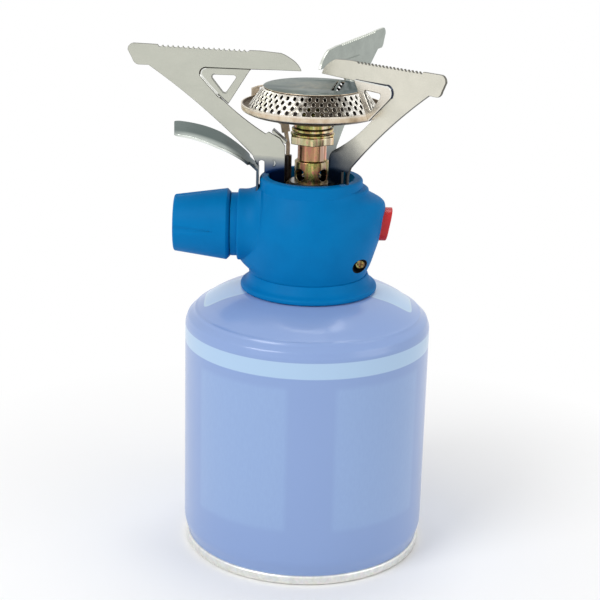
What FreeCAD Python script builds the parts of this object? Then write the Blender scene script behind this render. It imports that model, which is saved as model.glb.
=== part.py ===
import FreeCAD, Part
import math
import os

# Camping gas stove on its cartridge. Millimetres, +Z up, origin on the cartridge's axis at the floor.
# The control knob points along -X and the view from the front looks along +Y.

# Fits
running_gap = 0.06
push_gap = 0.03
loose_gap = 0.3
slip_gap = 0.15

# Gas cartridge
cartridge_radius = 55.0
shoulder_height = 104.0
dome_edge_radius = 53.0
dome_edge_rise = 6.0
dome_rise = 16.8
dome_flat_radius = 30.5
can_wall = 0.8
can_foot_radius = 53.2
can_foot_rise = 5.0
seam_radius = 54.2
seam_height = 4.2
seam_width = 1.8
base_dish_height = 7.0
valve_opening = 13.0

# Cartridge valve
curl_radius = 15.4
curl_height = 3.8
curl_width = 3.3
cup_wall = 0.8
well_depth = 3.6
pedestal_radius = 6.8
pedestal_rise = 6.0
stem_radius = 2.0
stem_bore = 0.8
stem_stand = 2.0
stem_flange_height = 1.6
gasket_thickness = 1.2
housing_wall = 2.6
housing_length = 16.0
spring_height = 4.0
spring_wire = 0.35
spring_turns = 4

# Base ring that clips over the cartridge's valve
flange_radius = 30.4
flange_top_radius = 26.2
flange_height = 7.2
flange_wall = 2.0
flange_lip = 2.2
web_hole = 16.6
claw_count = 3
claw_angle = 44.0
claw_thickness = 1.0
claw_ring_radius = 21.0
claw_drop = 3.4

# Stove body
body_foot_radius = 25.6
drum_radius = 28.9
drum_rise = 20.0
bulge_radius = 32.9
bulge_rise = 31.1
bulge_spread = 34.0
chin_foot_radius = 26.8
chin_radius = 31.8
chin_rise = 9.0
chin_spread = 24.0
collar_radius = 22.7
collar_bore = 19.0
collar_foot_rise = 39.4
collar_rise = 43.0
collar_lip = 1.4
collar_tuck = 1.2
body_wall = 2.2
collar_floor_depth = 15.3
floor_thickness = 2.2

# Gas valve in the body
knob_axis_rise = 20.5
block_radius = 9.0
block_foot_radius = 8.0
spindle_radius = 2.4
spindle_boss_radius = 4.8
spindle_boss_reach = 21.6
spindle_reach = 50.0
gland_flats = 9.4
gland_length = 4.2
seal_length = 2.4
probe_radius = 2.2
probe_bore = 1.0
inlet_seal_radius = 6.0
gas_way = 1.2
nipple_radius = 5.0
nipple_length = 6.0
jet_radius = 3.0
jet_length = 6.0
jet_thread = 1.9
screw_radius = 1.2
screw_head_radius = 2.15
screw_head_height = 1.5
screw_cross = 1.2
screw_cross_width = 0.5
screw_cross_depth = 0.8
casing_screw_side = 22.2
casing_screw_rise = 7.2
casing_screw_sink = 2.6
casing_screw_length = 7.0
floor_screw_head = 1.0
floor_screw_grip = 5.0
casing_boss_radius = 4.2
casing_boss_length = 11.0
casing_recess_play = 0.95
thread_play = 0.2
floor_ear_radius = 3.4
floor_ear_height = 6.0
seal_lap = 2.0
gas_way_drop = 6.0

# Knob and its shroud
shroud_radius = 15.8
shroud_reach = 32.0
shroud_wall = 2.0
shroud_edge = 0.8
shroud_flare = 10.0
spigot_radius = 14.0
spigot_length = 2.9
knob_inner_radius = 15.8
knob_outer_radius = 12.6
knob_length = 25.0
knob_chamfer = 1.5
knob_round = 1.0
knob_flutes = 4
flute_width = 5.0
flute_depth = 0.9
flute_length = 17.5
knob_pocket_radius = 12.4
knob_pocket_depth = 6.0

# Igniter
button_height = 14.7
button_width = 11.0
button_reach = 36.5
button_base_rise = 15.0
button_inset = 5.4
plunger_radius = 2.4
piezo_radius = 5.0
piezo_start = 11.5
piezo_end = 24.0
electrode_azimuth = 143.0
insulator_radius = 1.8
insulator_offset = 13.4
insulator_height = 28.6
insulator_foot = 3.5
electrode_pin_radius = 0.45
electrode_pin_length = 3.8
strip_thickness = 0.7
strip_width = 5.2
strip_neck_width = 2.2
strip_neck_length = 10.0
strip_upright = 4.6
strip_lean = 2.2
strip_stand_off = 1.4
strip_tab_length = 3.3
strip_tab_rise = 3.3
lead_radius = 0.9
lead_bend = 3.0
lead_drop = 7.0
lead_berth = 7.5

# Mixing tube and burner
tube_radius = 7.5
tube_neck_radius = 6.3
tube_bore = 4.2
tube_thread_radius = 5.0
tube_body_rise = 7.74
tube_neck_length = 7.4
air_hole_radius = 2.7
air_hole_drop = 6.1
nut_flats = 16.0
nut_height = 3.5
washer_radius = 9.6
washer_thickness = 1.5
spring_washer_radius = 8.4
spring_washer_thickness = 0.4
boss_radius = 8.2
boss_height = 2.4
cup_radius = 31.0
cup_flat_radius = 12.0
cup_corner_width = 2.4
cup_slope_rise = 3.8
cup_height = 8.6
cup_sheet = 0.8
burner_nut_flats = 13.0
burner_nut_height = 3.2
crown_clearance = 1.0
crown_height = 9.0
crown_sheet = 0.7
crown_foot = 0.5
crown_sides = 40
crown_rows = 4
flame_hole_radius = 0.72
cap_radius = 21.9
cap_thickness = 1.0
cap_slot_length = 7.0
cap_slot_width = 1.2
cap_slot_offset = 11.0

# Pan supports
arm_sheet = 1.2
left_azimuth = 178.0
right_azimuth = -50.0
rear_azimuth = 66.0
pan_clearance = 15.94
bar_depth = 9.7
arm_reach = 80.6
arm_tip_radius = 5.5
nose_length = 9.0
nose_drop = 0.6
bar_end_slant = 2.0
bar_end_corner = 3.0
bar_end_lip = 0.6
leg_offset = 9.0
leg_bow = 1.5
toe_reach = 3.3
toe_rise = 4.8
toe_length = 3.8
toe_width = 1.7
toe_end = 0.9
toe_lift = 2.7
toe_slant = 1.3
notch_offset = 0.5
notch_rise = 5.8
notch_width = 2.45
foot_step = 0.8
foot_play = 0.6
foot_neck_rise = 13.0
shoulder_reach = 8.6
shoulder_rise = 18.3
bend_rise = 9.2
bend_radius = 6.1
bend_bow = 2.4
leg_corner = 3.9
leg_corner_radius = 48.4
tooth_pitch = 2.2
tooth_depth = 0.9
tooth_count = 18
tooth_start = 28.0
press_depth = 0.7
gusset_start = 27.6
gusset_foot_radius = 37.0
gusset_foot_drop = 15.4
gusset_lap = 1.0
window_corner = 0.8
window_inset = 3.1
fold_offset = 0.7
fold_rise = 14.8
fold_reach = 6.0
fold_climb = 5.2
fold_width = 4.6
hub_height = 4.0
hub_radius = 11.2
hub_lug_reach = 16.4
hub_lug_wall = 1.2
hub_play = 0.1
clip_radius = 9.6
clip_thickness = 1.0

# Heat shield
shield_sheet = 1.0
shield_width = 30.0
shield_neck_width = 10.0
shield_reach = 60.3
shield_rise = 19.84
shield_root = 29.3
shield_dip = 3.1
shield_play = 0.4
shield_neck_rise = 3.0
shield_climb = 5.2
shield_corner = 3.0
shield_flare = 11.7
shield_ear = 1.5
shield_ear_spread = 9.0

# Heights that follow
dome_top = shoulder_height + dome_rise
curl_base = dome_top + can_wall
curl_top = curl_base + curl_height
well_floor = curl_base - well_depth
pedestal_top = well_floor + pedestal_rise
stem_top = pedestal_top + stem_stand
gasket_low = pedestal_top - cup_wall - gasket_thickness
flange_low = dome_top + loose_gap
flange_top = flange_low + flange_height
body_low = flange_top + running_gap
knob_axis = body_low + knob_axis_rise
collar_top = body_low + collar_rise
collar_floor = collar_top - collar_floor_depth
tuck_radius = collar_radius - collar_tuck
cavity_top = collar_floor - body_wall
floor_top = body_low + floor_thickness
seat_low = stem_top + push_gap
hub_low = collar_floor + slip_gap
tube_body_top = collar_top + tube_body_rise
air_hole_height = tube_body_top - air_hole_drop
shield_height = collar_top + shield_rise
stack_low = tube_body_top + tube_neck_length
washer_low = stack_low + nut_height
boss_low = washer_low + 2 * washer_thickness + spring_washer_thickness
cup_low = boss_low + boss_height
cup_top = cup_low + cup_height
crown_low = cup_low + cup_slope_rise + 2 * cup_sheet + running_gap
cap_low = crown_low + crown_height
cap_top = cap_low + cap_thickness
pan_height = cap_top + pan_clearance
bar_low = pan_height - bar_depth
crown_base_radius = cup_radius - cup_sheet - crown_foot - crown_clearance
crown_top_radius = cap_radius
piezo_axis = cavity_top - piezo_radius - loose_gap


def vector(x, y, z):
    return FreeCAD.Vector(x, y, z)


def outline_face(points, place):
    """A closed face. A point may carry the middle point of the arc that leads to it."""
    edges = []
    here = place(*points[0])
    for step in points[1:] + points[:1]:
        if isinstance(step[0], tuple):
            middle, end = place(*step[0]), place(*step[1])
            edges.append(Part.Arc(here, middle, end).toShape())
        else:
            end = place(*step)
            if end.distanceToPoint(here) < 1e-6:
                continue
            edges.append(Part.LineSegment(here, end).toShape())
        here = end
    return Part.Face(Part.Wire(edges))


def thick_line(points, thickness):
    """Outline of a bent line given as points, thickened to both sides and mitred at its bends."""
    normals = [((after[1] - before[1]) / math.dist(before, after), (before[0] - after[0]) / math.dist(before, after))
               for before, after in zip(points, points[1:])]
    sides = []
    for index, (x, y) in enumerate(points):
        first, last = normals[max(index - 1, 0)], normals[min(index, len(normals) - 1)]
        scale = 0.5 * thickness / (1 + first[0] * last[0] + first[1] * last[1])
        sides.append((x, y, scale * (first[0] + last[0]), scale * (first[1] + last[1])))
    return [(x + a, y + b) for x, y, a, b in sides] + [(x - a, y - b) for x, y, a, b in sides[::-1]]


def revolve(points):
    """Turn a half section of radius and height about the upright axis."""
    face = outline_face(points, lambda radius, height: vector(radius, 0, height))
    return face.revolve(vector(0, 0, 0), vector(0, 0, 1), 360)


def revolve_knob_axis(points):
    """Turn a half section of reach and radius about the knob's axis."""
    face = outline_face(points, lambda reach, radius: vector(-reach, 0, knob_axis + radius))
    return face.revolve(vector(0, 0, knob_axis), vector(1, 0, 0), 360)


def post(radius, low, high, x=0.0, y=0.0):
    return Part.makeCylinder(radius, high - low, vector(x, y, low))


def ring(inner, outer, low, high):
    return post(outer, low, high).cut(post(inner, low, high))


def rod_along_x(radius, start, end, y=0.0, z=None):
    height = knob_axis if z is None else z
    return Part.makeCylinder(radius, end - start, vector(start, y, height), vector(1, 0, 0))


def hexagon(flats, low, high, bore):
    corner = flats / math.sqrt(3)
    corners = [vector(corner * math.cos(math.radians(60 * side + 30)),
                      corner * math.sin(math.radians(60 * side + 30)), low) for side in range(7)]
    prism = Part.Face(Part.makePolygon(corners)).extrude(vector(0, 0, high - low))
    return prism.cut(post(bore, low, high))


def block(low, high):
    size = [top - bottom for bottom, top in zip(low, high)]
    return Part.makeBox(*size, vector(*low))


def turned(shape, azimuth):
    copy = shape.copy()
    copy.rotate(vector(0, 0, 0), vector(0, 0, 1), azimuth)
    return copy


def clean(shape):
    return shape.removeSplitter()


# Cartridge

def can_outline(inset):
    """Outer half section of the can, drawn in by the inset."""
    edge_height = shoulder_height + dome_edge_rise
    return [
        (0, can_foot_rise - inset),
        (can_foot_radius - inset, can_foot_rise - inset),
        (cartridge_radius - inset, 2 * can_foot_rise),
        (cartridge_radius - inset, shoulder_height - inset),
        ((cartridge_radius - 0.5 - inset, shoulder_height + 0.6 * dome_edge_rise - inset),
         (dome_edge_radius - inset, edge_height - inset)),
        ((0.78 * cartridge_radius - inset, edge_height + 0.62 * (dome_top - edge_height) - inset),
         (dome_flat_radius, dome_top - inset)),
        (valve_opening + curl_width, dome_top + can_wall - inset),
        (0, dome_top + can_wall - inset),
    ]


def can_body():
    shell = revolve(can_outline(0)).cut(revolve(can_outline(can_wall)))
    opening = post(valve_opening, dome_top - 2 * can_wall, curl_top)
    foot = post(can_foot_radius - can_wall, 0, can_foot_rise + can_wall)
    return clean(shell.cut(opening).cut(foot))


def can_base():
    """Dished base, seamed to the can's foot by a rolled rim that stands on the floor."""
    inner = seam_radius - seam_width
    flat = 0.3 * inner
    return revolve([
        (0, base_dish_height - can_wall), (flat, base_dish_height - can_wall),
        ((0.75 * inner, 0.66 * base_dish_height), (inner - 0.6, can_wall)),
        (inner, 0), (seam_radius - 0.6, 0),
        ((seam_radius - 0.15, 0.15), (seam_radius, 0.6)),
        (seam_radius, seam_height - 0.6),
        ((seam_radius - 0.15, seam_height - 0.15), (seam_radius - 0.6, seam_height)),
        (inner, seam_height), (inner, 2 * can_wall),
        ((0.76 * inner, 0.68 * base_dish_height + can_wall), (flat, base_dish_height)),
        (0, base_dish_height),
    ])


def valve_cup():
    """Pressed cup: a curl over the can's opening, a well and a raised pedestal."""
    inner = curl_radius - curl_width
    well = valve_opening - push_gap
    shoulder = curl_top - 1.0
    return revolve([
        (curl_radius, curl_base), (curl_radius, shoulder),
        ((curl_radius - 0.4 * curl_width, curl_top), (inner, shoulder)),
        (inner, well_floor), (pedestal_radius, well_floor),
        (pedestal_radius, pedestal_top - cup_wall),
        (pedestal_radius - cup_wall, pedestal_top),
        (stem_radius + loose_gap, pedestal_top), (stem_radius + loose_gap, pedestal_top - cup_wall),
        (pedestal_radius - cup_wall, pedestal_top - cup_wall),
        (pedestal_radius - cup_wall, well_floor - cup_wall),
        (well, well_floor - cup_wall), (well, curl_base),
    ])


def valve_gasket():
    outer = pedestal_radius - cup_wall - push_gap
    return ring(stem_radius + push_gap, outer, gasket_low, gasket_low + gasket_thickness)


def valve_housing():
    outer = pedestal_radius - cup_wall - push_gap
    inner = outer - housing_wall
    low = gasket_low - housing_length
    body = post(outer, low, gasket_low)
    chamber = post(inner, low + housing_wall, gasket_low)
    inlet = post(stem_bore, low, low + housing_wall)
    return body.cut(chamber).cut(inlet)


def stem_foot():
    return gasket_low - housing_length + housing_wall + spring_height


def valve_stem():
    flange = pedestal_radius - cup_wall - push_gap - housing_wall - loose_gap
    body = post(stem_radius, stem_foot(), stem_top)
    collar = post(flange, gasket_low - stem_flange_height, gasket_low - running_gap)
    bore = post(stem_bore, gasket_low, stem_top)
    port = Part.makeCylinder(0.5 * stem_bore, 2 * stem_radius, vector(-stem_radius, 0, gasket_low),
                             vector(1, 0, 0))
    return clean(body.fuse(collar)).cut(bore).cut(port)


def valve_spring():
    """Small compression spring of square wire, with its ends on the housing and the stem."""
    low = stem_foot() - spring_height
    radius = stem_radius - spring_wire
    rise = (spring_height - 2 * spring_wire) / spring_turns
    helix = Part.makeHelix(rise, spring_height - 2 * spring_wire, radius)
    section = Part.Wire(Part.makePolygon([
        vector(radius - spring_wire, 0, -spring_wire), vector(radius + spring_wire, 0, -spring_wire),
        vector(radius + spring_wire, 0, spring_wire), vector(radius - spring_wire, 0, spring_wire),
        vector(radius - spring_wire, 0, -spring_wire)]))
    coil = Part.Wire(helix.Edges).makePipeShell([section], True, True)
    coil.translate(vector(0, 0, low + spring_wire))
    return coil


# Base ring

def base_flange():
    """Flared skirt with a rounded lip, and the web that the locking claws hang from."""
    wall = flange_wall
    lip = flange_low + flange_lip
    middle = 0.5 * (flange_radius + flange_top_radius)
    return revolve([
        (flange_radius - 0.7, flange_low),
        ((flange_radius - 0.2, flange_low + 0.2), (flange_radius, flange_low + 0.7)),
        ((flange_radius - 0.1, 0.5 * (flange_low + lip)), (flange_radius - 0.6, lip)),
        ((middle - 0.7, 0.5 * (lip + flange_top)), (flange_top_radius, flange_top)),
        (web_hole, flange_top), (web_hole, flange_top - wall),
        (flange_top_radius - wall, flange_top - wall),
        ((middle - wall, flange_low + 0.5 * flange_height), (flange_radius - wall, flange_low)),
    ])


def locking_claws():
    """Spring steel ring under the web, with claws that stand round the cartridge's curl."""
    inner = curl_radius + loose_gap
    high = flange_top - flange_wall
    plate = ring(inner, claw_ring_radius, high - claw_thickness, high)
    skirt = ring(inner, inner + claw_thickness, high - claw_drop, high - claw_thickness)
    gap_angle = 360 / claw_count - claw_angle
    sector = Part.makeCylinder(claw_ring_radius, claw_drop, vector(0, 0, high - claw_drop),
                               vector(0, 0, 1), gap_angle)
    for index in range(claw_count):
        gap = turned(sector, index * 360 / claw_count)
        skirt = skirt.cut(gap.common(ring(inner - 1, inner + 2, high - claw_drop, high - claw_thickness)))
    return clean(plate.fuse(skirt))


# Stove body

def drum_wall(rise):
    """Radius of the round drum at a height above the body's foot."""
    if rise < drum_rise:
        swell = math.sin(0.5 * math.pi * rise / drum_rise)
        return body_foot_radius + (drum_radius - body_foot_radius) * swell
    swell = math.cos(0.5 * math.pi * (rise - drum_rise) / (collar_foot_rise - drum_rise))
    return tuck_radius + (drum_radius - tuck_radius) * swell


def bulge_wall(rise):
    """Radius of the igniter's housing, on the right: it leans out and ends in a sloping shoulder."""
    if rise < bulge_rise:
        swell = math.sin(0.5 * math.pi * rise / bulge_rise)
        return body_foot_radius + (bulge_radius - body_foot_radius) * swell
    share = (rise - bulge_rise) / (collar_foot_rise - bulge_rise)
    swell = 1 - 1.6 * share ** 2 if share < 0.25 else 1.2 * (1 - share)
    return tuck_radius + (bulge_radius - tuck_radius) * swell


def chin_wall(rise):
    """Radius of the web under the knob shroud, on the left, which fades into the drum above."""
    if rise < chin_rise:
        swell = math.sin(0.5 * math.pi * rise / chin_rise)
        return chin_foot_radius + (chin_radius - chin_foot_radius) * swell
    share = min(1, (rise - chin_rise) / (knob_axis_rise - chin_rise))
    return drum_wall(rise) + (chin_radius - drum_wall(chin_rise)) * (1 - share) ** 2


def body_section(rise, inset):
    """Closed smooth section of the body: the drum, drawn out on the right and on the left."""
    height = body_low + rise * (1 - inset / collar_foot_rise)
    points = []
    for bearing in range(-180, 180, 15):
        right = math.exp(-(bearing / bulge_spread) ** 2)
        left = math.exp(-((180 - abs(bearing)) / chin_spread) ** 2)
        radius = drum_wall(rise) - inset
        radius += right * (bulge_wall(rise) - drum_wall(rise)) + left * (chin_wall(rise) - drum_wall(rise))
        angle = math.radians(bearing)
        points.append(vector(radius * math.cos(angle), radius * math.sin(angle), height))
    curve = Part.BSplineCurve()
    curve.interpolate(Points=points, PeriodicFlag=True)
    return Part.Wire(curve.toShape())


def body_solid(inset):
    """The moulded body below its collar, drawn in by the inset."""
    shoulder = collar_foot_rise - bulge_rise
    rises = [0, 0.35 * chin_rise, chin_rise, 0.5 * (chin_rise + drum_rise), drum_rise,
             0.5 * (drum_rise + bulge_rise), bulge_rise]
    rises += [bulge_rise + share * shoulder for share in (0.18, 0.4, 0.7, 1)]
    return Part.makeLoft([body_section(rise, inset) for rise in rises], True, False)


def shroud_solid():
    """Round shroud of the knob, which flares into the drum by a wide fillet."""
    centre_radius = shroud_radius + shroud_flare
    span = drum_radius + shroud_flare
    centre_reach = math.sqrt(span ** 2 - centre_radius ** 2)
    meet = (centre_reach * drum_radius / span, centre_radius * drum_radius / span)
    half = 0.5 * math.atan2(centre_reach, centre_radius)
    middle = (centre_reach - shroud_flare * math.sin(half), centre_radius - shroud_flare * math.cos(half))
    return revolve_knob_axis([
        (0, 0), (shroud_reach, 0), (shroud_reach, shroud_radius - shroud_edge),
        ((shroud_reach - 0.29 * shroud_edge, shroud_radius - 0.29 * shroud_edge),
         (shroud_reach - shroud_edge, shroud_radius)),
        (centre_reach, shroud_radius), (middle, meet), (0, meet[1]),
    ])


def collar_solid():
    return revolve([
        (0, cavity_top), (collar_radius, cavity_top), (collar_radius, collar_top - collar_lip),
        ((collar_radius - 0.3 * collar_lip, collar_top - 0.3 * collar_lip),
         (collar_radius - collar_lip, collar_top)),
        (collar_bore + 0.6, collar_top), (0, collar_top),
    ])


def button_shape(grow, start, end):
    """Upright tablet with round ends, along X."""
    half = 0.5 * button_width + grow
    low = body_low + button_base_rise - grow
    high = body_low + button_base_rise + button_height + grow
    corner = 0.45 * button_width + grow
    points = [
        (half, low + corner), (half, high - corner),
        ((half - 0.29 * corner, high - 0.29 * corner), (half - corner, high)),
        (corner - half, high),
        ((0.29 * corner - half, high - 0.29 * corner), (-half, high - corner)),
        (-half, low + corner),
        ((0.29 * corner - half, low + 0.29 * corner), (corner - half, low)),
        (half - corner, low),
        ((half - 0.29 * corner, low + 0.29 * corner), (half, low + corner)),
    ]
    face = outline_face(points, lambda y, z: vector(start, y, z))
    return face.extrude(vector(end - start, 0, 0))


def screw_place():
    """Where the casing screw's recess meets the drum, on the front right."""
    x = casing_screw_side
    z = body_low + casing_screw_rise
    surface = math.sqrt(drum_wall(casing_screw_rise) ** 2 - x ** 2)
    return x, -surface, z


def casing_screw():
    x, y, z = screw_place()
    inward = vector(0, 1, 0)
    head_low = y + casing_screw_sink
    head = Part.makeCone(screw_head_radius - 0.5, screw_head_radius, 0.5, vector(x, head_low, z), inward)
    head = head.fuse(Part.makeCylinder(screw_head_radius, screw_head_height - 0.5,
                                       vector(x, head_low + 0.5, z), inward))
    shank = Part.makeCylinder(screw_radius, casing_screw_length,
                              vector(x, head_low + screw_head_height, z), inward)
    reach, half = screw_cross, 0.5 * screw_cross_width
    floor = head_low + screw_cross_depth
    cross = block((x - reach, head_low, z - half), (x + reach, floor, z + half))
    cross = cross.fuse(block((x - half, head_low, z - reach), (x + half, floor, z + reach)))
    return clean(head.fuse(shank)).cut(cross)


def shield_section(grow):
    """Side view of the heat shield's middle line, thickened by the sheet and the clearance."""
    half = 0.5 * shield_sheet + grow
    neck = collar_radius + shield_play + 0.5 * shield_sheet
    low = cavity_top
    bend = collar_top + shield_neck_rise
    root = bend + shield_climb
    middle = 0.5 * (shield_root + shield_reach)
    dip = shield_height - shield_dip
    return [
        (neck - half, low), (neck - half, bend + 0.45 * half), (shield_root - 0.6 * half, root + 0.8 * half),
        ((middle - 0.3 * half, dip + 0.95 * half), (shield_reach, shield_height + half)),
        (shield_reach, shield_height - half),
        ((middle + 0.3 * half, dip - 0.95 * half), (shield_root + 0.6 * half, root - 0.8 * half)),
        (neck + half, bend - 0.45 * half), (neck + half, low),
    ]


def heat_shield():
    """Curved sheet over the knob on a narrow neck that drops into the body beside the collar."""
    half = 0.5 * shield_width
    face = outline_face(shield_section(0), lambda reach, height: vector(-reach, -half, height))
    sheet = face.extrude(vector(0, shield_width, 0))
    neck = 0.5 * shield_neck_width
    corner = shield_corner
    inner = collar_radius
    flare = shield_root + shield_flare
    crook = shield_root - 1.5 * shield_ear
    ear = shield_root - shield_ear
    points = [
        (inner, -neck), (crook, -neck), (ear, -shield_ear_spread), (flare, -half), (shield_reach - corner, -half),
        ((shield_reach - 0.29 * corner, 0.29 * corner - half), (shield_reach, corner - half)),
        (shield_reach, half - corner),
        ((shield_reach - 0.29 * corner, half - 0.29 * corner), (shield_reach - corner, half)),
        (flare, half), (ear, shield_ear_spread), (crook, neck), (inner, neck),
    ]
    plan = outline_face(points, lambda reach, side: vector(-reach, side, 0))
    return clean(sheet.common(plan.extrude(vector(0, 0, 2 * shield_height))))


def shield_slot():
    half = 0.5 * shield_neck_width + slip_gap
    face = outline_face(shield_section(slip_gap), lambda reach, height: vector(-reach, -half, height))
    return face.extrude(vector(0, 2 * half, 0))


def body_housing():
    """Moulded body: tapered drum, collar with its bore, knob shroud, button window, screw recess."""
    spigot = rod_along_x(spigot_radius, -shroud_reach - spigot_length, -shroud_reach)
    solid = body_solid(0).fuse([collar_solid(), shroud_solid(), spigot])
    sleeve = post(collar_radius - 0.6, cavity_top, collar_top)
    below = post(2 * bulge_radius, 0, floor_top)
    cavity = body_solid(body_wall).cut([sleeve, below])
    shroud_room = rod_along_x(shroud_radius - shroud_wall, shroud_wall - shroud_reach, 0)
    shroud_room = shroud_room.cut([sleeve, below])
    spigot_room = rod_along_x(spigot_radius - shroud_wall, -shroud_reach - spigot_length, -shroud_reach)
    spindle_hole = rod_along_x(spindle_radius + loose_gap, -shroud_reach, 0)
    solid = solid.cut([cavity, shroud_room, spigot_room, spindle_hole])
    foot = post(body_foot_radius - body_wall, body_low, floor_top)
    bore = post(collar_bore, collar_floor, collar_top)
    throat = post(tube_radius + slip_gap, cavity_top, collar_floor)
    lead_x, lead_y = insulator_place()
    lead_hole = post(insulator_radius + push_gap, cavity_top, collar_floor, lead_x, lead_y)
    solid = solid.cut([foot, bore, throat, lead_hole])
    x, y, z = screw_place()
    inward = vector(0, 1, 0)
    boss = Part.makeCylinder(casing_boss_radius, casing_boss_length, vector(x, y + 1, z), inward)
    boss = boss.common(body_solid(loose_gap)).cut(below)
    head_seat = casing_screw_sink + screw_head_height
    recess = Part.makeCylinder(screw_head_radius + casing_recess_play, head_seat + 6, vector(x, y - 6, z), inward)
    thread = Part.makeCylinder(screw_radius + push_gap, casing_screw_length + thread_play,
                               vector(x, y + head_seat, z), inward)
    window = button_shape(slip_gap, collar_radius, button_reach + 5)
    return solid.fuse(boss).cut([recess, thread, window, shield_slot()])


def body_floor():
    plate = post(body_foot_radius - body_wall - push_gap, body_low, floor_top)
    hole = post(block_foot_radius + push_gap, body_low, floor_top)
    plate = plate.cut(hole)
    for x, y in floor_screw_places():
        plate = plate.cut(post(screw_radius + push_gap, body_low, floor_top, x, y))
    return plate


def floor_screw_places():
    offset = block_radius + 1.5 * screw_radius
    return [(0, -offset), (0, offset)]


def floor_screws():
    screws = []
    for x, y in floor_screw_places():
        head = post(screw_head_radius, body_low - floor_screw_head, body_low, x, y)
        shank = post(screw_radius, body_low, floor_top + floor_screw_grip, x, y)
        screws.append(clean(head.fuse(shank)))
    return Part.makeCompound(screws)


# Gas valve

def valve_block():
    """Brass block: foot through the floor, screw ears, spindle boss and the jet's nipple."""
    body = post(block_radius, floor_top, cavity_top)
    foot = post(block_foot_radius, seat_low + seal_lap, floor_top)
    ears = [post(floor_ear_radius, floor_top, floor_top + floor_ear_height, x, y)
            for x, y in floor_screw_places()]
    boss = rod_along_x(spindle_boss_radius, -spindle_boss_reach, 0)
    nipple = post(nipple_radius, cavity_top, collar_floor + nipple_length)
    solid = body.fuse([foot, boss, nipple] + ears)
    bores = [rod_along_x(spindle_radius + running_gap, -spindle_boss_reach, -spindle_radius),
             post(probe_radius + push_gap, seat_low, knob_axis - gas_way_drop),
             post(gas_way, knob_axis - gas_way_drop, collar_floor + nipple_length),
             post(jet_thread + push_gap, collar_floor, collar_floor + nipple_length)]
    bores += [post(screw_radius + push_gap, floor_top, floor_top + floor_screw_grip + thread_play, x, y)
              for x, y in floor_screw_places()]
    return clean(solid.cut(bores))


def inlet_probe():
    return ring(probe_bore, probe_radius, seat_low, knob_axis - gas_way_drop)


def inlet_seal():
    return ring(probe_radius + push_gap, inlet_seal_radius, pedestal_top + 0.5, seat_low + seal_lap)


def gland_nut():
    nut = hexagon(gland_flats, 0, gland_length, spindle_radius + running_gap)
    nut = nut.cut(post(gland_flats / 2 - 1.4, 0, seal_length))
    nut.rotate(vector(0, 0, 0), vector(0, 1, 0), -90)
    nut.translate(vector(-spindle_boss_reach, 0, knob_axis))
    return nut


def spindle_seal():
    low = -spindle_boss_reach - seal_length
    outer = rod_along_x(gland_flats / 2 - 1.4 - push_gap, low, -spindle_boss_reach)
    return outer.cut(rod_along_x(spindle_radius + running_gap, low, -spindle_boss_reach))


def spindle():
    """Spindle with its needle point in the block and its drive in the knob."""
    tip = 3.0
    reach = spindle_reach
    return revolve_knob_axis([
        (spindle_radius + tip + 0.4, 0), (spindle_radius + tip + 0.6, 0.4),
        (spindle_radius + 2 * tip, spindle_radius), (reach - 0.6, spindle_radius),
        (reach, spindle_radius - 0.6), (reach, 0),
    ])


def knob_flute(end):
    """Long three-sided groove, open at the knob's outer end and run out towards the body."""
    fall = (knob_inner_radius - knob_outer_radius) / knob_length

    def notch(back, scale):
        surface = knob_axis + knob_outer_radius + fall * back
        half, depth = 0.5 * flute_width * scale, flute_depth * scale
        corners = [vector(back - end, -2 * half, surface + depth), vector(back - end, 0, surface - depth),
                   vector(back - end, 2 * half, surface + depth)]
        return Part.Wire(Part.makePolygon(corners + corners[:1]))
    return Part.makeLoft([notch(-1.0, 1.05), notch(flute_length, 0.02)], True, True)


def control_knob():
    """Tapered knob with shallow flutes that widen towards its outer end."""
    start = shroud_reach + spigot_length + loose_gap
    end = start + knob_length
    solid = revolve_knob_axis([
        (start, 0), (start, knob_inner_radius - knob_chamfer), (start + knob_chamfer, knob_inner_radius),
        (end - knob_round, knob_outer_radius),
        ((end - 0.29 * knob_round, knob_outer_radius - 0.29 * knob_round),
         (end, knob_outer_radius - knob_round)),
        (end, 0),
    ])
    for side in range(knob_flutes):
        cutter = knob_flute(end)
        cutter.rotate(vector(0, 0, knob_axis), vector(1, 0, 0), side * 360 / knob_flutes + 90)
        solid = solid.cut(cutter)
    pocket = rod_along_x(knob_pocket_radius, -start - knob_pocket_depth, -start)
    hub = rod_along_x(spindle_radius + 3.0, -start - knob_pocket_depth, -start)
    bore = rod_along_x(spindle_radius + push_gap, -spindle_reach - push_gap, -start)
    return clean(solid.cut(pocket.cut(hub)).cut(bore))


def jet():
    low = collar_floor + nipple_length
    body = post(jet_radius, low, low + jet_length)
    top = Part.makeCone(jet_radius, 1.2, 2.0, vector(0, 0, low + jet_length))
    thread = post(jet_thread, low - 4.0, low)
    return clean(body.fuse([top, thread])).cut(post(0.4, low - 4.0, low + jet_length + 2.0))


# Igniter

def insulator_place():
    angle = math.radians(electrode_azimuth)
    return insulator_offset * math.cos(angle), insulator_offset * math.sin(angle)


def insulator():
    x, y = insulator_place()
    low = cavity_top - insulator_foot
    top = low + insulator_height
    socket = post(electrode_pin_radius + 2 * push_gap, top - electrode_pin_length - thread_play, top, x, y)
    return post(insulator_radius, low, top, x, y).cut(socket)


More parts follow.
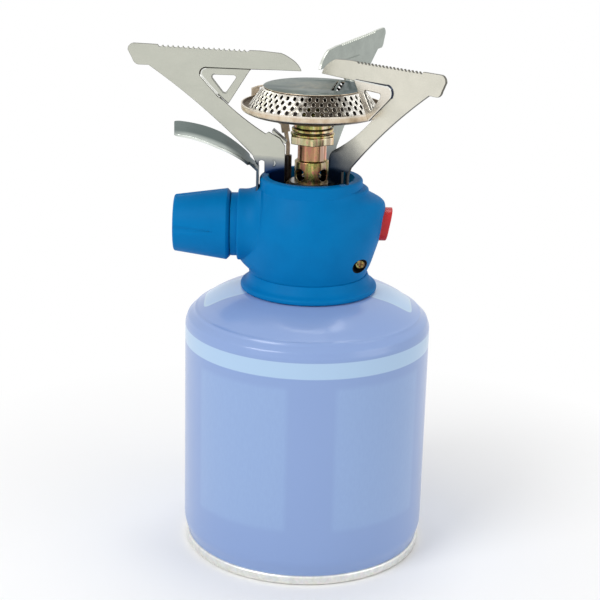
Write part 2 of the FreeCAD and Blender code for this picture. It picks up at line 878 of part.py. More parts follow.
def electrode():
    """Flat electrode: a pin in the insulator, a strip under the cup and a tab over its rim."""
    top = cavity_top - insulator_foot + insulator_height
    inner = insulator_offset
    outer = cup_radius + strip_stand_off
    under = cup_low + strip_stand_off
    line = [
        (inner, top), (inner, top + strip_upright), (inner + strip_lean, under - 4.4),
        (outer - 1.7, under), (outer, under + 1.6), (outer, cup_top + 0.6 * strip_tab_rise),
        (outer - strip_tab_length, cup_top + strip_tab_rise),
    ]
    face = outline_face(thick_line(line, strip_thickness),
                        lambda radius, height: vector(radius, -0.5 * strip_width, height))
    strip = face.extrude(vector(0, strip_width, 0))
    half = 0.5 * strip_neck_width
    high = top + strip_neck_length
    for side in (-1, 1):
        low_side, high_side = sorted((side * half, side * strip_width))
        strip = strip.cut(block((inner - 2, low_side, top), (inner + 2, high_side, high)))
    pin = post(electrode_pin_radius, top - electrode_pin_length, top, inner, 0)
    return turned(clean(strip.fuse(pin)), electrode_azimuth)


def bent_tube(points, radius, bend):
    """Tube along straight runs that are joined by tangent arcs."""
    places = [vector(*point) for point in points]
    edges = []
    here = places[0]
    for before, corner, after in zip(places, places[1:], places[2:]):
        into = (corner - before).normalize()
        out = (after - corner).normalize()
        turn = into.getAngle(out)
        back = bend * math.tan(0.5 * turn)
        start, end = corner - into * back, corner + out * back
        bisector = (out - into).normalize()
        centre = corner + bisector * (bend / math.cos(0.5 * turn))
        middle = centre - bisector * bend
        edges.append(Part.LineSegment(here, start).toShape())
        edges.append(Part.Arc(start, middle, end).toShape())
        here = end
    edges.append(Part.LineSegment(here, places[-1]).toShape())
    path = Part.Wire(edges)
    section = Part.Wire(Part.makeCircle(radius, places[0], (places[1] - places[0]).normalize()))
    return path.makePipeShell([section], True, False)


def ignition_lead():
    """Lead from the insulator's foot, round the back of the valve block, to the piezo unit."""
    x, y = insulator_place()
    low = cavity_top - insulator_foot
    drop = lead_drop
    back = block_radius + lead_berth
    side = piezo_start + lead_bend
    return bent_tube([
        (x, y, low), (x, y, low - drop), (0.3 * x, back, low - drop - lead_bend),
        (0.5 * side, back, low - drop - 1.0), (side, back - 1.5 * lead_bend, piezo_axis),
        (side, piezo_radius + push_gap, piezo_axis),
    ], lead_radius, lead_bend)


def piezo_unit():
    body = rod_along_x(piezo_radius, piezo_start, piezo_end, z=piezo_axis)
    bore = rod_along_x(plunger_radius + running_gap, piezo_end - 8.0, piezo_end, z=piezo_axis)
    saddle = block((piezo_start + 2, -3.0, floor_top), (piezo_end - 2, 3.0, piezo_axis))
    saddle = saddle.cut(rod_along_x(piezo_radius - 1.0, piezo_start, piezo_end, z=piezo_axis))
    return clean(body.fuse(saddle)).cut(bore)


def piezo_button():
    """Button whose face follows the body's taper, with a plunger into the piezo unit."""
    start = bulge_radius - button_inset
    solid = button_shape(0, start, button_reach)
    low = body_low + button_base_rise
    taper = math.degrees(math.atan2(2.6, button_height))
    face = block((0, -20, -30), (20, 20, 40))
    face.rotate(vector(0, 0, 0), vector(0, 1, 0), taper)
    face.translate(vector(button_reach - 2.8, 0, low))
    plunger = rod_along_x(plunger_radius, piezo_end - 4.0, start, z=piezo_axis)
    return clean(solid.cut(face).fuse(plunger))


# Mixing tube and burner

def mixing_tube():
    """Tube over the block's nipple, with air holes round the jet, a neck and a threaded end."""
    top = cup_low + cup_sheet + burner_nut_height + 0.8
    solid = revolve([
        (0, collar_floor), (tube_radius, collar_floor), (tube_radius, tube_body_top - 0.8),
        (tube_radius - 0.8, tube_body_top), (tube_neck_radius, tube_body_top),
        (tube_neck_radius, stack_low), (tube_thread_radius, stack_low),
        (tube_thread_radius, top - 0.5), (tube_thread_radius - 0.5, top), (0, top),
    ])
    solid = solid.cut(post(nipple_radius + push_gap, collar_floor, collar_floor + nipple_length))
    solid = solid.cut(post(tube_bore, collar_floor + nipple_length, top))
    for side in range(4):
        hole = Part.makeCylinder(air_hole_radius, tube_radius + 1, vector(0, 0, air_hole_height),
                                 vector(1, 0, 0))
        solid = solid.cut(turned(hole, 45 + 90 * side))
    return clean(solid)


def lock_nut():
    return hexagon(nut_flats, stack_low, washer_low, tube_thread_radius + push_gap)


def clamp_washers():
    bore = tube_thread_radius + push_gap
    upper = washer_low + washer_thickness + spring_washer_thickness
    return Part.makeCompound([ring(bore, washer_radius, washer_low, washer_low + washer_thickness),
                              ring(bore, washer_radius, upper, upper + washer_thickness)])


def spring_washer():
    low = washer_low + washer_thickness
    washer = ring(tube_thread_radius + push_gap, spring_washer_radius, low, low + spring_washer_thickness)
    return washer.cut(block((0, -0.5, low), (spring_washer_radius, 0.5, low + 1)))


def burner_boss():
    return ring(tube_thread_radius + push_gap, boss_radius, boss_low, cup_low)


def burner_cup():
    """Pressed tray under the burner, with an upright rim."""
    slope = cup_low + cup_slope_rise
    bore = tube_thread_radius + push_gap
    inner = cup_radius - cup_sheet
    corner = cup_radius - cup_corner_width
    bend = slope + cup_corner_width
    edge = 0.5 * cup_sheet
    return revolve([
        (bore, cup_low), (cup_flat_radius, cup_low), (corner, slope),
        ((cup_radius - 0.3 * cup_corner_width, slope + 0.3 * cup_corner_width), (cup_radius, bend)),
        (cup_radius, cup_top - edge), ((cup_radius - edge, cup_top), (inner, cup_top - edge)),
        (inner, bend + 0.1),
        ((inner - 0.25 * cup_corner_width, slope + 0.62 * cup_corner_width),
         (corner - 0.2, slope + cup_sheet)),
        (cup_flat_radius, cup_low + cup_sheet), (bore, cup_low + cup_sheet),
    ])


def burner_nut():
    low = cup_low + cup_sheet
    return hexagon(burner_nut_flats, low, low + burner_nut_height, tube_thread_radius + push_gap)


def crown_cone(inset, low, high):
    """Solid many-sided cone of the crown, drawn in by the inset."""
    def loop(radius, height):
        corner = radius / math.cos(math.pi / crown_sides)
        angles = [2 * math.pi * side / crown_sides for side in range(crown_sides)]
        places = [vector(corner * math.cos(angle), corner * math.sin(angle), height) for angle in angles]
        return Part.Wire(Part.makePolygon(places + places[:1]))
    fall = (crown_base_radius - crown_top_radius) / crown_height
    bottom = crown_base_radius - inset - fall * (low - crown_low)
    top = crown_base_radius - inset - fall * (high - crown_low)
    return Part.makeLoft([loop(bottom, low), loop(top, high)], True, True)


def burner_crown():
    """Perforated cone: staggered rows of flame holes, and a foot inside the cup's rim."""
    wall = crown_sheet * 1.35
    cone = crown_cone(0, crown_low, cap_low).cut(crown_cone(wall, crown_low, cap_low))
    foot = ring(crown_base_radius - wall, crown_base_radius + crown_foot,
                crown_low, crown_low + crown_sheet)
    foot = foot.cut(crown_cone(wall, crown_low, cap_low))
    slope = math.degrees(math.atan2(crown_base_radius - crown_top_radius, crown_height))
    step = 360 / crown_sides
    corners = [vector(0, flame_hole_radius * math.cos(math.radians(60 * side)),
                      1.4 * flame_hole_radius * math.sin(math.radians(60 * side))) for side in range(7)]
    punch = Part.Face(Part.makePolygon(corners)).extrude(vector(6, 0, 0))
    punch.translate(vector(-3, 0, 0))
    punch.rotate(vector(0, 0, 0), vector(0, 1, 0), -slope)
    punches = []
    for row in range(crown_rows):
        share = (row + 0.9) / (crown_rows + 0.6)
        radius = crown_base_radius - share * (crown_base_radius - crown_top_radius) - 0.5 * wall
        height = crown_low + share * crown_height
        for side in range(crown_sides):
            hole = punch.copy()
            hole.translate(vector(radius, 0, height))
            punches.append(turned(hole, step * (side + 0.5 + 0.5 * (row % 2))))
    return clean(cone.fuse(foot)).cut(Part.makeCompound(punches))


def burner_cap():
    """Cap over the crown, with a slot pair and a small folded tab."""
    disc = revolve([
        (0, cap_low), (cap_radius, cap_low), (cap_radius, cap_low + 0.5 * cap_thickness),
        ((cap_radius - 0.2, cap_low + 0.85 * cap_thickness), (cap_radius - 0.7, cap_low + cap_thickness)),
        (0, cap_low + cap_thickness),
    ])
    half = 0.5 * cap_slot_length
    slot = block((cap_slot_offset, -half, cap_low), (cap_slot_offset + cap_slot_width, half, cap_top))
    tab = block((cap_slot_offset - cap_slot_width, -half, cap_top),
                (cap_slot_offset, half, cap_top + cap_thickness))
    return clean(disc.cut(turned(slot, -18)).fuse(turned(tab, -18)))


# Pan supports

def bowed(start, end, bow):
    """Arc from start to end as an outline step, bowed to the left of the way."""
    run, climb = end[0] - start[0], end[1] - start[1]
    span = math.hypot(run, climb)
    middle = (0.5 * (start[0] + end[0]) - bow * climb / span, 0.5 * (start[1] + end[1]) + bow * run / span)
    return middle, end


def tooth_row():
    """Saw teeth along the bar's top, as outline points from the nose outwards."""
    points = [(tooth_start - 0.5 * nose_length, pan_height - 0.1), (tooth_start, pan_height - 0.2)]
    for tooth in range(tooth_count):
        start = tooth_start + tooth * tooth_pitch
        points += [(start + 0.35 * tooth_pitch, pan_height - tooth_depth),
                   (start + 0.75 * tooth_pitch, pan_height - tooth_depth), (start + tooth_pitch, pan_height)]
    return points


def arm_outline(foot, folded):
    """Side view of one support, in radius and height, from the nose round the bar and the leg."""
    low = bar_low
    top = pan_height
    reach = arm_reach
    corner = bar_end_corner
    nose = (arm_tip_radius + nose_length, top - nose_drop)
    end_low = (reach - bar_end_slant, low + corner)
    tip = [
        (reach - corner, top), ((reach - 0.29 * corner, top - 0.29 * corner), (reach, top - corner)), end_low,
        ((end_low[0] - 0.29 * corner, low + bar_end_lip + 0.29 * corner),
         (end_low[0] - corner, low + bar_end_lip)),
        (reach - leg_offset, low + bar_end_lip),
    ]
    toe = (collar_radius + toe_reach, collar_top + toe_rise + toe_length)
    toe_low = collar_top + toe_end + (toe_lift if folded else 0)
    outer = collar_bore - foot_play
    inner = hub_radius + foot_play
    notch_outer = collar_radius + notch_offset
    notch_inner = notch_outer - notch_width
    notch_top = collar_top + notch_rise
    leg = [
        bowed(tip[-1], toe, -leg_bow), (collar_radius + toe_width, collar_top + toe_rise),
        (collar_radius + toe_width, toe_low + (toe_slant if folded else 0)), (notch_outer, toe_low),
        (notch_outer, notch_top),
        ((0.5 * (notch_inner + notch_outer), notch_top + 0.3 * notch_width), (notch_inner, notch_top)),
        (notch_inner, collar_top + foot_step), (outer, collar_top + foot_play),
        (outer, foot), (inner, foot),
    ]
    crook = (leg_corner_radius, low - leg_corner)
    if folded:
        shoulder = (inner + shoulder_reach, collar_top + shoulder_rise)
        inside = [
            (inner, collar_top + foot_neck_rise),
            (inner + 0.27 * shoulder_reach, shoulder[1] - 0.35 * fold_climb),
            (shoulder[0] - 0.15 * shoulder_reach, shoulder[1] + 0.18 * fold_climb), shoulder,
            bowed(shoulder, crook, -leg_bow),
        ]
    else:
        neck = collar_top + bend_rise
        shoulder = (inner + 0.5 * bend_radius, neck + 0.866 * bend_radius)
        inside = [
            (inner, neck), ((inner + 0.134 * bend_radius, neck + 0.5 * bend_radius), shoulder),
            bowed(shoulder, crook, -bend_bow),
        ]
    inside.append(((leg_corner_radius + 0.15 * leg_corner, low - 0.38 * leg_corner),
                   (leg_corner_radius - 0.46 * leg_corner, low)))
    back = [(arm_tip_radius + 1.4, low), (arm_tip_radius, low),
            ((arm_tip_radius + 0.42 * nose_length, low + 0.64 * bar_depth), nose)]
    return [nose] + tooth_row() + tip + leg + inside + back


def arm_window():
    """Rounded triangular window of the gusset, along the sheet's thickness."""
    inset = window_inset
    corners = [(gusset_start + 2.1 * inset, bar_low - inset),
               (leg_corner_radius - 1.5 * inset, bar_low - inset),
               (gusset_foot_radius + 0.5 * inset, bar_low - gusset_foot_drop + 1.75 * inset)]
    face = outline_face(corners, lambda radius, height: vector(radius, 5, height))
    prism = face.extrude(vector(0, -10, 0))
    upright = [edge for edge in prism.Edges if abs(edge.tangentAt(edge.FirstParameter).y) > 0.9]
    return prism.makeFillet(window_corner, upright)


def arm_plate(foot, folded):
    """Stamped support: toothed bar, leg with a notch over the collar, pressed gusset, and a fold."""
    half = 0.5 * arm_sheet
    plate = outline_face(arm_outline(foot, folded), lambda radius, height: vector(radius, half, height))
    plate = plate.extrude(vector(0, -arm_sheet, 0))
    low = bar_low
    lap = gusset_lap
    leg_side = (gusset_foot_radius, low - gusset_foot_drop)
    gusset = outline_face([
        leg_side, (leg_corner_radius + 1.4 * lap, low - leg_corner),
        ((leg_corner_radius + 2 * lap, low - 0.6 * lap), (leg_corner_radius - 1.6 * lap, low + lap)),
        (gusset_start, low + lap), (gusset_start, low - 0.2 * lap),
        (leg_side[0] - 0.4 * lap, leg_side[1] + 0.6 * lap),
    ], lambda radius, height: vector(radius, half - press_depth, height))
    gusset = gusset.extrude(vector(0, -arm_sheet, 0))
    plate = plate.fuse(gusset)
    if folded:
        start = vector(hub_radius + foot_play - fold_offset, 0, collar_top + fold_rise)
        end = start + vector(fold_reach, 0, fold_climb)
        along = (end - start).normalize()
        across = vector(-along.z, 0, along.x) * -arm_sheet
        corners = [start, end, end + across, start + across, start]
        plate = plate.fuse(Part.Face(Part.makePolygon(corners)).extrude(vector(0, -fold_width - half, 0)))
    return clean(plate.cut(arm_window()))


def arm(level, azimuth, folded=False):
    return turned(arm_plate(hub_foot(level), folded), azimuth)


def hub_foot(level):
    return hub_low + level * (hub_height + hub_play)


def arm_hub(level, azimuth):
    """Ring round the mixing tube with a fork that grips the support's foot."""
    low = hub_foot(level)
    high = low + hub_height
    half = 0.5 * arm_sheet
    lug = block((hub_radius - 1.5, -half - hub_lug_wall, low), (hub_lug_reach, half + hub_lug_wall, high))
    slot = block((hub_radius, -half, low), (hub_lug_reach, half, high))
    body = post(hub_radius, low, high).fuse(lug.cut(slot)).cut(post(tube_radius + running_gap, low, high))
    foot_room = block((hub_radius + foot_play, -half, low), (hub_lug_reach, half, high))
    return turned(clean(body.cut(foot_room)), azimuth)


def hub_clip():
    low = hub_foot(3)
    clip = ring(tube_radius, clip_radius, low, low + clip_thickness)
    return clip.cut(turned(block((0, -1.2, low), (clip_radius, 1.2, low + clip_thickness)), 10))


parts = {
    "can_body": can_body,
    "can_base": can_base,
    "valve_cup": valve_cup,
    "valve_gasket": valve_gasket,
    "valve_housing": valve_housing,
    "valve_stem": valve_stem,
    "valve_spring": valve_spring,
    "base_flange": base_flange,
    "locking_claws": locking_claws,
    "body_housing": body_housing,
    "body_floor": body_floor,
    "floor_screws": floor_screws,
    "casing_screw": casing_screw,
    "valve_block": valve_block,
    "inlet_probe": inlet_probe,
    "inlet_seal": inlet_seal,
    "gland_nut": gland_nut,
    "spindle_seal": spindle_seal,
    "spindle": spindle,
    "control_knob": control_knob,
    "jet": jet,
    "insulator": insulator,
    "electrode": electrode,
    "ignition_lead": ignition_lead,
    "piezo_unit": piezo_unit,
    "piezo_button": piezo_button,
    "mixing_tube": mixing_tube,
    "lock_nut": lock_nut,
    "clamp_washers": clamp_washers,
    "spring_washer": spring_washer,
    "burner_boss": burner_boss,
    "burner_cup": burner_cup,
    "burner_nut": burner_nut,
    "burner_crown": burner_crown,
    "burner_cap": burner_cap,
    "heat_shield": heat_shield,
    "left_arm": lambda: arm(0, left_azimuth, True),
    "right_arm": lambda: arm(1, right_azimuth),
    "rear_arm": lambda: arm(2, rear_azimuth),
    "left_hub": lambda: arm_hub(0, left_azimuth),
    "right_hub": lambda: arm_hub(1, right_azimuth),
    "rear_hub": lambda: arm_hub(2, rear_azimuth),
    "hub_clip": hub_clip,
}

os.makedirs("parts", exist_ok=True)
for name, make in parts.items():
    shape = make()
    shape.exportStep(os.path.join("parts", name + ".step"))
    print(name, len(shape.Solids), round(shape.Volume, 1), shape.isValid())
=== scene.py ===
import bpy
import bmesh
import math
from mathutils import Matrix, Vector


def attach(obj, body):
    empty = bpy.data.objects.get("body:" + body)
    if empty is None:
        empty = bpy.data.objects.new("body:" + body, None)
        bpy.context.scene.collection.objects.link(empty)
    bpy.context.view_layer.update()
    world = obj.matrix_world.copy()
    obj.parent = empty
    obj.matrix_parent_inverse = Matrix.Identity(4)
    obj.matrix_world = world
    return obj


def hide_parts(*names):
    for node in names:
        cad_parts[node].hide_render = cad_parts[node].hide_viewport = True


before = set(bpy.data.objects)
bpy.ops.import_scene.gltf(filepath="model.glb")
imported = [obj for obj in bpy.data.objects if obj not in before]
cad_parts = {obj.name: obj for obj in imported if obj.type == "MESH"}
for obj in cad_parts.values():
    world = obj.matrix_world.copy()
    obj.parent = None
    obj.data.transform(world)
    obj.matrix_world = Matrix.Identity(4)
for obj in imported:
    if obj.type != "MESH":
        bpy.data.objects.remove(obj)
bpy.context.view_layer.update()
millimetre = 0.001


def paint(red, green, blue):  # a screen colour, 0 to 255, as the shader's own linear colour
    return tuple((part / 255 / 12.92 if part < 10.3 else ((part / 255 + 0.055) / 1.055) ** 2.4)
                 for part in (red, green, blue)) + (1.0,)


class Link:  # a node's output that sums and products can be written with
    def __init__(self, finish, socket):
        self.finish = finish
        self.socket = socket

    def maths(self, operation, first, second=0.5, clamp=False):
        return self.finish.node("Math", {"operation": operation, "use_clamp": clamp}, {0: first, 1: second})

    def __add__(self, other):
        return self.maths("ADD", self, other)

    def __radd__(self, other):
        return self.maths("ADD", other, self)

    def __sub__(self, other):
        return self.maths("SUBTRACT", self, other)

    def __rsub__(self, other):
        return self.maths("SUBTRACT", other, self)

    def __mul__(self, other):
        return self.maths("MULTIPLY", self, other)

    def __rmul__(self, other):
        return self.maths("MULTIPLY", other, self)

    def __pow__(self, other):
        return self.maths("POWER", self, other)

    def __abs__(self):
        return self.maths("ABSOLUTE", self)

    def lower(self, other):
        return self.maths("MINIMUM", self, other)

    def higher(self, other):
        return self.maths("MAXIMUM", self, other)

    def hypot(self, other):
        return self.maths("SQRT", self * self + other * other)

    def over(self, edge, soft):  # 0 below the edge, 1 above it, with a soft step between
        return self.maths("ADD", (self - edge) * (1 / soft), 0.5, True)

    def under(self, edge, soft):
        return 1 - self.over(edge, soft)

    def near(self, middle, half, soft):  # 1 close to the middle, 0 away from it
        return abs(self - middle).under(half, soft)

    def within(self, low, high, soft):
        return self.over(low, soft) * self.under(high, soft)


def highest(links):
    most = links[0]
    for link in links[1:]:
        most = most.higher(link)
    return most


class Finish:  # one material, built round a Principled shader
    def __init__(self, name, colour, roughness, metallic=0.0, **fixed):
        self.material = bpy.data.materials.new(name)
        self.material.use_nodes = True
        self.tree = self.material.node_tree
        self.shader = self.tree.nodes["Principled BSDF"]
        self.put("Base Color", colour)
        self.put("Roughness", roughness)
        self.put("Metallic", metallic)
        for setting, value in fixed.items():
            self.put(setting.replace("_", " "), value)
        self.material.diffuse_color = colour
        self.place = self.node("TexCoord", output="Object")

    def socket(self, sockets, key):
        if isinstance(key, int):
            return sockets[key]
        return next(found for found in sockets if key in (found.identifier, found.name))

    def join(self, socket, value):
        if isinstance(value, Link):
            self.tree.links.new(value.socket, socket)
        else:
            socket.default_value = value

    def put(self, name, value):
        self.join(self.shader.inputs[name], value)

    def node(self, kind, settings=None, values=None, output=0):
        made = self.tree.nodes.new("ShaderNode" + kind)
        for name, value in (settings or {}).items():
            if name == "stops":
                stops = made.color_ramp.elements
                while len(stops) < len(value):
                    stops.new(0.5)
                for stop, (position, colour) in zip(stops, value):
                    stop.position, stop.color = position, colour
            else:
                setattr(made, name, value)
        for key, value in (values or {}).items():
            self.join(self.socket(made.inputs, key), value)
        return Link(self, self.socket(made.outputs, output))

    def stretch(self, scale, turn=(0, 0, 0), shift=(0, 0, 0)):
        return self.node("Mapping", {}, {"Vector": self.place, "Scale": scale, "Rotation": turn,
                                         "Location": shift})

    def noise(self, size, detail=3, rough=0.5, where=None, warp=0.0):  # size of a blot in millimetres
        return self.node("TexNoise", {}, {"Vector": where or self.place, "Scale": 1 / (size * millimetre),
                                          "Detail": detail, "Roughness": rough, "Distortion": warp})

    def along(self, name, start=0.0):  # millimetres along an axis, from a start
        return self.node("SeparateXYZ", {}, {"Vector": self.place}, name) * (1 / millimetre) - start

    def radius(self):  # millimetres from the upright axis
        return self.along("X").hypot(self.along("Y"))

    def bearing(self):  # degrees round the upright axis, from the object's right
        side, depth = self.along("X"), self.along("Y")
        return depth.maths("ARCTAN2", depth, side) * (180 / math.pi)

    def blend(self, share, first, second):
        return self.node("Mix", {"data_type": "RGBA"},
                         {"Factor_Float": share, "A_Color": first, "B_Color": second}, "Result_Color")

    def coats(self, ground, *coats):  # each a share and a colour, laid over what is there
        for share, colour in coats:
            ground = self.blend(share, ground, colour)
        return ground

    def ramp(self, share, stops):
        return self.node("ValToRGB", {"stops": stops}, {"Fac": share})

    def relief(self, height, depth):  # depth in millimetres
        self.put("Normal", self.node("Bump", {}, {"Height": height, "Distance": depth * millimetre,
                                                  "Strength": 1.0}))
        return self


print("camera, lamps and floor")

shot = {"place": (0, -0.6709, 0.3286), "down": 17.72, "aside": -0.306, "roll": 1.50, "lens": 93.9, "sensor": 36}
light = {
    "world": 0.5, "aim": 0.13,  # metres above the floor
    "key": {"place": (-0.75, -0.75, 0.95), "size": 0.7, "power": 8.0},
    "fill": {"place": (0.95, -0.45, 0.55), "size": 0.8, "power": 2.2},
    "top": {"place": (0.05, 0.30, 1.25), "size": 0.6, "power": 3.6},
}
floorShade = {"colour": (0.94, 0.94, 0.94, 1), "rough": 0.9, "half": 4, "drop": 0.0002,
              "middle": 0.16, "soft": 0.16}  # metres from the middle of the cartridge


def makeCamera():
    data = bpy.data.cameras.new("camera")
    data.lens = shot["lens"]
    data.sensor_width = shot["sensor"]
    camera = bpy.data.objects.new("camera", data)
    bpy.context.scene.collection.objects.link(camera)
    aside, down, roll = (math.radians(shot[name]) for name in ("aside", "down", "roll"))
    right = Vector((math.cos(aside), -math.sin(aside), 0))
    ahead = Vector((math.sin(aside), math.cos(aside), 0))
    rise = Vector((0, 0, 1))
    sight = ahead * math.cos(down) - rise * math.sin(down)
    over = ahead * math.sin(down) + rise * math.cos(down)
    turned = (right * math.cos(roll) + over * math.sin(roll), over * math.cos(roll) - right * math.sin(roll))
    matrix = Matrix((turned[0], turned[1], -sight)).transposed().to_4x4()
    matrix.translation = shot["place"]
    camera.matrix_world = matrix
    bpy.context.scene.camera = camera


def makeLamp(name, values):
    data = bpy.data.lights.new(name, "AREA")
    data.shape = "DISK"
    data.size = values["size"]
    data.energy = values["power"]
    lamp = bpy.data.objects.new(name, data)
    bpy.context.scene.collection.objects.link(lamp)
    lamp.location = values["place"]
    lamp.rotation_euler = (Vector((0, 0, light["aim"])) - lamp.location).to_track_quat("-Z", "Y").to_euler()


def shownRay(tree):  # 1 for what the camera or a mirror sees, 0 for what lights the object
    path = tree.nodes.new("ShaderNodeLightPath")
    total = path.outputs["Is Camera Ray"]
    for name in ("Is Glossy Ray", "Is Transmission Ray"):
        most = tree.nodes.new("ShaderNodeMath")
        most.operation = "MAXIMUM"
        tree.links.new(total, most.inputs[0])
        tree.links.new(path.outputs[name], most.inputs[1])
        total = most.outputs[0]
    return total


def makeWorld():
    world = bpy.data.worlds.new("studio")
    bpy.context.scene.world = world
    world.use_nodes = True
    tree = world.node_tree
    strength = tree.nodes.new("ShaderNodeMapRange")
    strength.inputs["To Min"].default_value = light["world"]
    strength.inputs["To Max"].default_value = 1.0
    tree.links.new(shownRay(tree), strength.inputs["Value"])
    tree.nodes["Background"].inputs["Color"].default_value = (1, 1, 1, 1)
    tree.links.new(strength.outputs[0], tree.nodes["Background"].inputs["Strength"])


def makeFloor():  # white far off, its own pale colour and the shadow near the object
    shape = bmesh.new()
    bmesh.ops.create_grid(shape, x_segments=1, y_segments=1, size=floorShade["half"])
    mesh = bpy.data.meshes.new("floor")
    shape.to_mesh(mesh)
    shape.free()
    floor = bpy.data.objects.new("floor", mesh)
    bpy.context.scene.collection.objects.link(floor)
    floor.location.z = -floorShade["drop"]
    pale = Finish("paleFloor", floorShade["colour"], floorShade["rough"])
    far = pale.node("VectorMath", {"operation": "LENGTH"}, {0: pale.place}, 1)
    white = pale.node("Emission", {}, {"Color": (1, 1, 1, 1), "Strength": 1.0})
    share = far.over(floorShade["middle"], floorShade["soft"]) * Link(pale, shownRay(pale.tree))
    mixed = pale.node("MixShader", {}, {0: share, 1: Link(pale, pale.shader.outputs[0]), 2: white})
    pale.tree.links.new(mixed.socket, pale.tree.nodes["Material Output"].inputs["Surface"])
    mesh.materials.append(pale.material)


makeCamera()
makeWorld()
makeFloor()
for name in ("key", "fill", "top"):
    makeLamp(name, light[name])
bpy.context.scene.view_settings.view_transform = "Standard"

print("finishes")

cartridgePaint = {
    "blue": paint(139, 165, 214), "cloudy": paint(131, 158, 210), "panel": paint(152, 182, 224),
    "pale": paint(176, 206, 236), "border": paint(196, 222, 226), "scuff": paint(196, 206, 224),
    "band": (96.6, 103.8), "panels": (26.0, 92.0), "panelMiddles": (-122.0, -52.0, 20.0, 160.0), "panelHalf": 24.0,
    "domeLow": 107.0, "domeMiddle": 35.8, "domeReach": 10.6, "domeHalf": 12.9, "squareness": 6,
    "borderFrom": 0.66, "scuffedBelow": 9.0,
}


def cartridgeFinish():
    values = cartridgePaint
    made = Finish("cartridgeBlue", values["blue"], 0.3, Coat_Roughness=0.12, Coat_Weight=0.35,
                  Specular_IOR_Level=0.4)
    height, bearing = made.along("Z"), made.bearing()

    def beside(middle):  # close to a bearing, either way round
        apart = abs(bearing - middle)
        return apart.lower(360 - apart).under(values["panelHalf"], 2.4)

    panels = highest([beside(middle) for middle in values["panelMiddles"]]) * height.within(*values["panels"], 2.4)
    band = height.within(*values["band"], 0.35)
    across = (abs(made.along("X")) - values["domeMiddle"]) * (1 / values["domeReach"])
    along = made.along("Y") * (1 / values["domeHalf"])
    square = across ** values["squareness"] + along ** values["squareness"]
    domes = square.under(1.0, 0.2) * height.over(values["domeLow"], 0.5)
    border = square.over(values["borderFrom"], 0.2) * domes
    fleck = made.noise(0.9, 2, where=made.stretch((1, 1, 0.35)))
    cloud = made.noise(26, 3)
    scuff = made.noise(0.35, 4, 0.7, where=made.stretch((1, 1, 0.2))).over(0.74, 0.05)
    made.put("Base Color", made.coats(
        values["blue"], (cloud.over(0.5, 0.5) * 0.10, values["cloudy"]),
        (panels * (0.22 + 0.5 * fleck), values["panel"]), (band.higher(domes) * 0.97, values["pale"]),
        (border * 0.35, values["border"]),
        (scuff * (0.10 + 0.35 * height.under(values["scuffedBelow"], 6.0)), values["scuff"])))
    made.put("Roughness", 0.25 + 0.10 * cloud + 0.08 * scuff)
    return made.relief(made.noise(0.6, 2), 0.012)


tinPaint = {"ground": paint(240, 241, 236), "tones": [(0.3, paint(228, 227, 220)), (0.7, paint(247, 247, 242))],
            "spangles": 700.0}


def tinFinish():
    made = Finish("tin", tinPaint["ground"], 0.3, 0.7)
    spangle = made.node("TexVoronoi", {"feature": "SMOOTH_F1"},
                        {"Vector": made.place, "Scale": tinPaint["spangles"]}, "Color")
    cloud = made.noise(2.5, 4, 0.6)
    stain = made.noise(0.8, 5, 0.75).over(0.68, 0.08)
    made.put("Base Color", made.blend(0.06, made.ramp(cloud, tinPaint["tones"]), spangle))
    made.put("Roughness", 0.26 + 0.16 * cloud + 0.2 * stain)
    return made.relief(cloud + 0.3 * stain, 0.01)


mouldedPaint = {"bloom": 0.5, "scuffed": 0.12}
screwRecess = {"x": 22.2, "z": 135.56, "radius": 3.3, "front": -10.0, "recessShade": paint(20, 22, 26)}


def mouldedFinish(name, colour, shade, rough=0.48, specular=0.06, hollow=None):
    made = Finish(name, colour, rough, Specular_IOR_Level=specular)
    cloud = made.noise(9, 4, 0.6)
    scratch = made.noise(0.5, 4, 0.7, where=made.stretch((0.2, 1.0, 0.6), (0.4, 0.2, 0.9)), warp=0.3).over(0.72, 0.03)
    pale = tuple(0.75 * part + 0.25 for part in colour[:3]) + (1.0,)
    coats = [(cloud.over(0.55, 0.3) * mouldedPaint["bloom"], shade), (scratch * mouldedPaint["scuffed"], pale)]
    if hollow:  # painted shade inside the screw's recess
        apart = made.along("X", hollow["x"]).hypot(made.along("Z", hollow["z"]))
        coats.append((apart.under(hollow["radius"], 0.2) * made.along("Y").under(hollow["front"], 1.0),
                      hollow["recessShade"]))
    made.put("Base Color", made.coats(colour, *coats))
    made.put("Roughness", rough - 0.05 + 0.10 * cloud + 0.10 * scratch)
    return made.relief(made.noise(0.22, 2) + 0.5 * made.noise(0.08, 1) - 0.4 * scratch, 0.015)


zincPaint = {
    "ground": paint(205, 180, 130),
    "tones": [(0.30, paint(132, 108, 62)), (0.39, paint(206, 186, 108)), (0.46, paint(150, 168, 92)),
              (0.52, paint(222, 196, 122)), (0.59, paint(222, 132, 122)), (0.66, paint(230, 208, 150)),
              (0.76, paint(120, 92, 62))],
    "pink": paint(250, 176, 150), "shadedSide": paint(72, 52, 38), "cream": paint(244, 236, 210),
    "bright": paint(255, 240, 224), "darkReflectionLine": paint(36, 26, 18), "lowDarkening": paint(96, 70, 44),
    "bandShade": paint(88, 60, 42), "pale": paint(244, 232, 196), "speck": paint(84, 62, 38),
    "hole": paint(30, 22, 16), "jointShade": paint(46, 34, 24),
    "foot": 172.5, "neck": (179.4, 186.6), "nut": (186.6, 190.0), "joints": (186.5, 191.4, 193.4, 195.8),
    "bore": 6.9, "boreTop": 178.4, "shadedSideBearing": -118.0, "darkReflectionBearing": -60.0, "highlightBearing": -45.0,
}


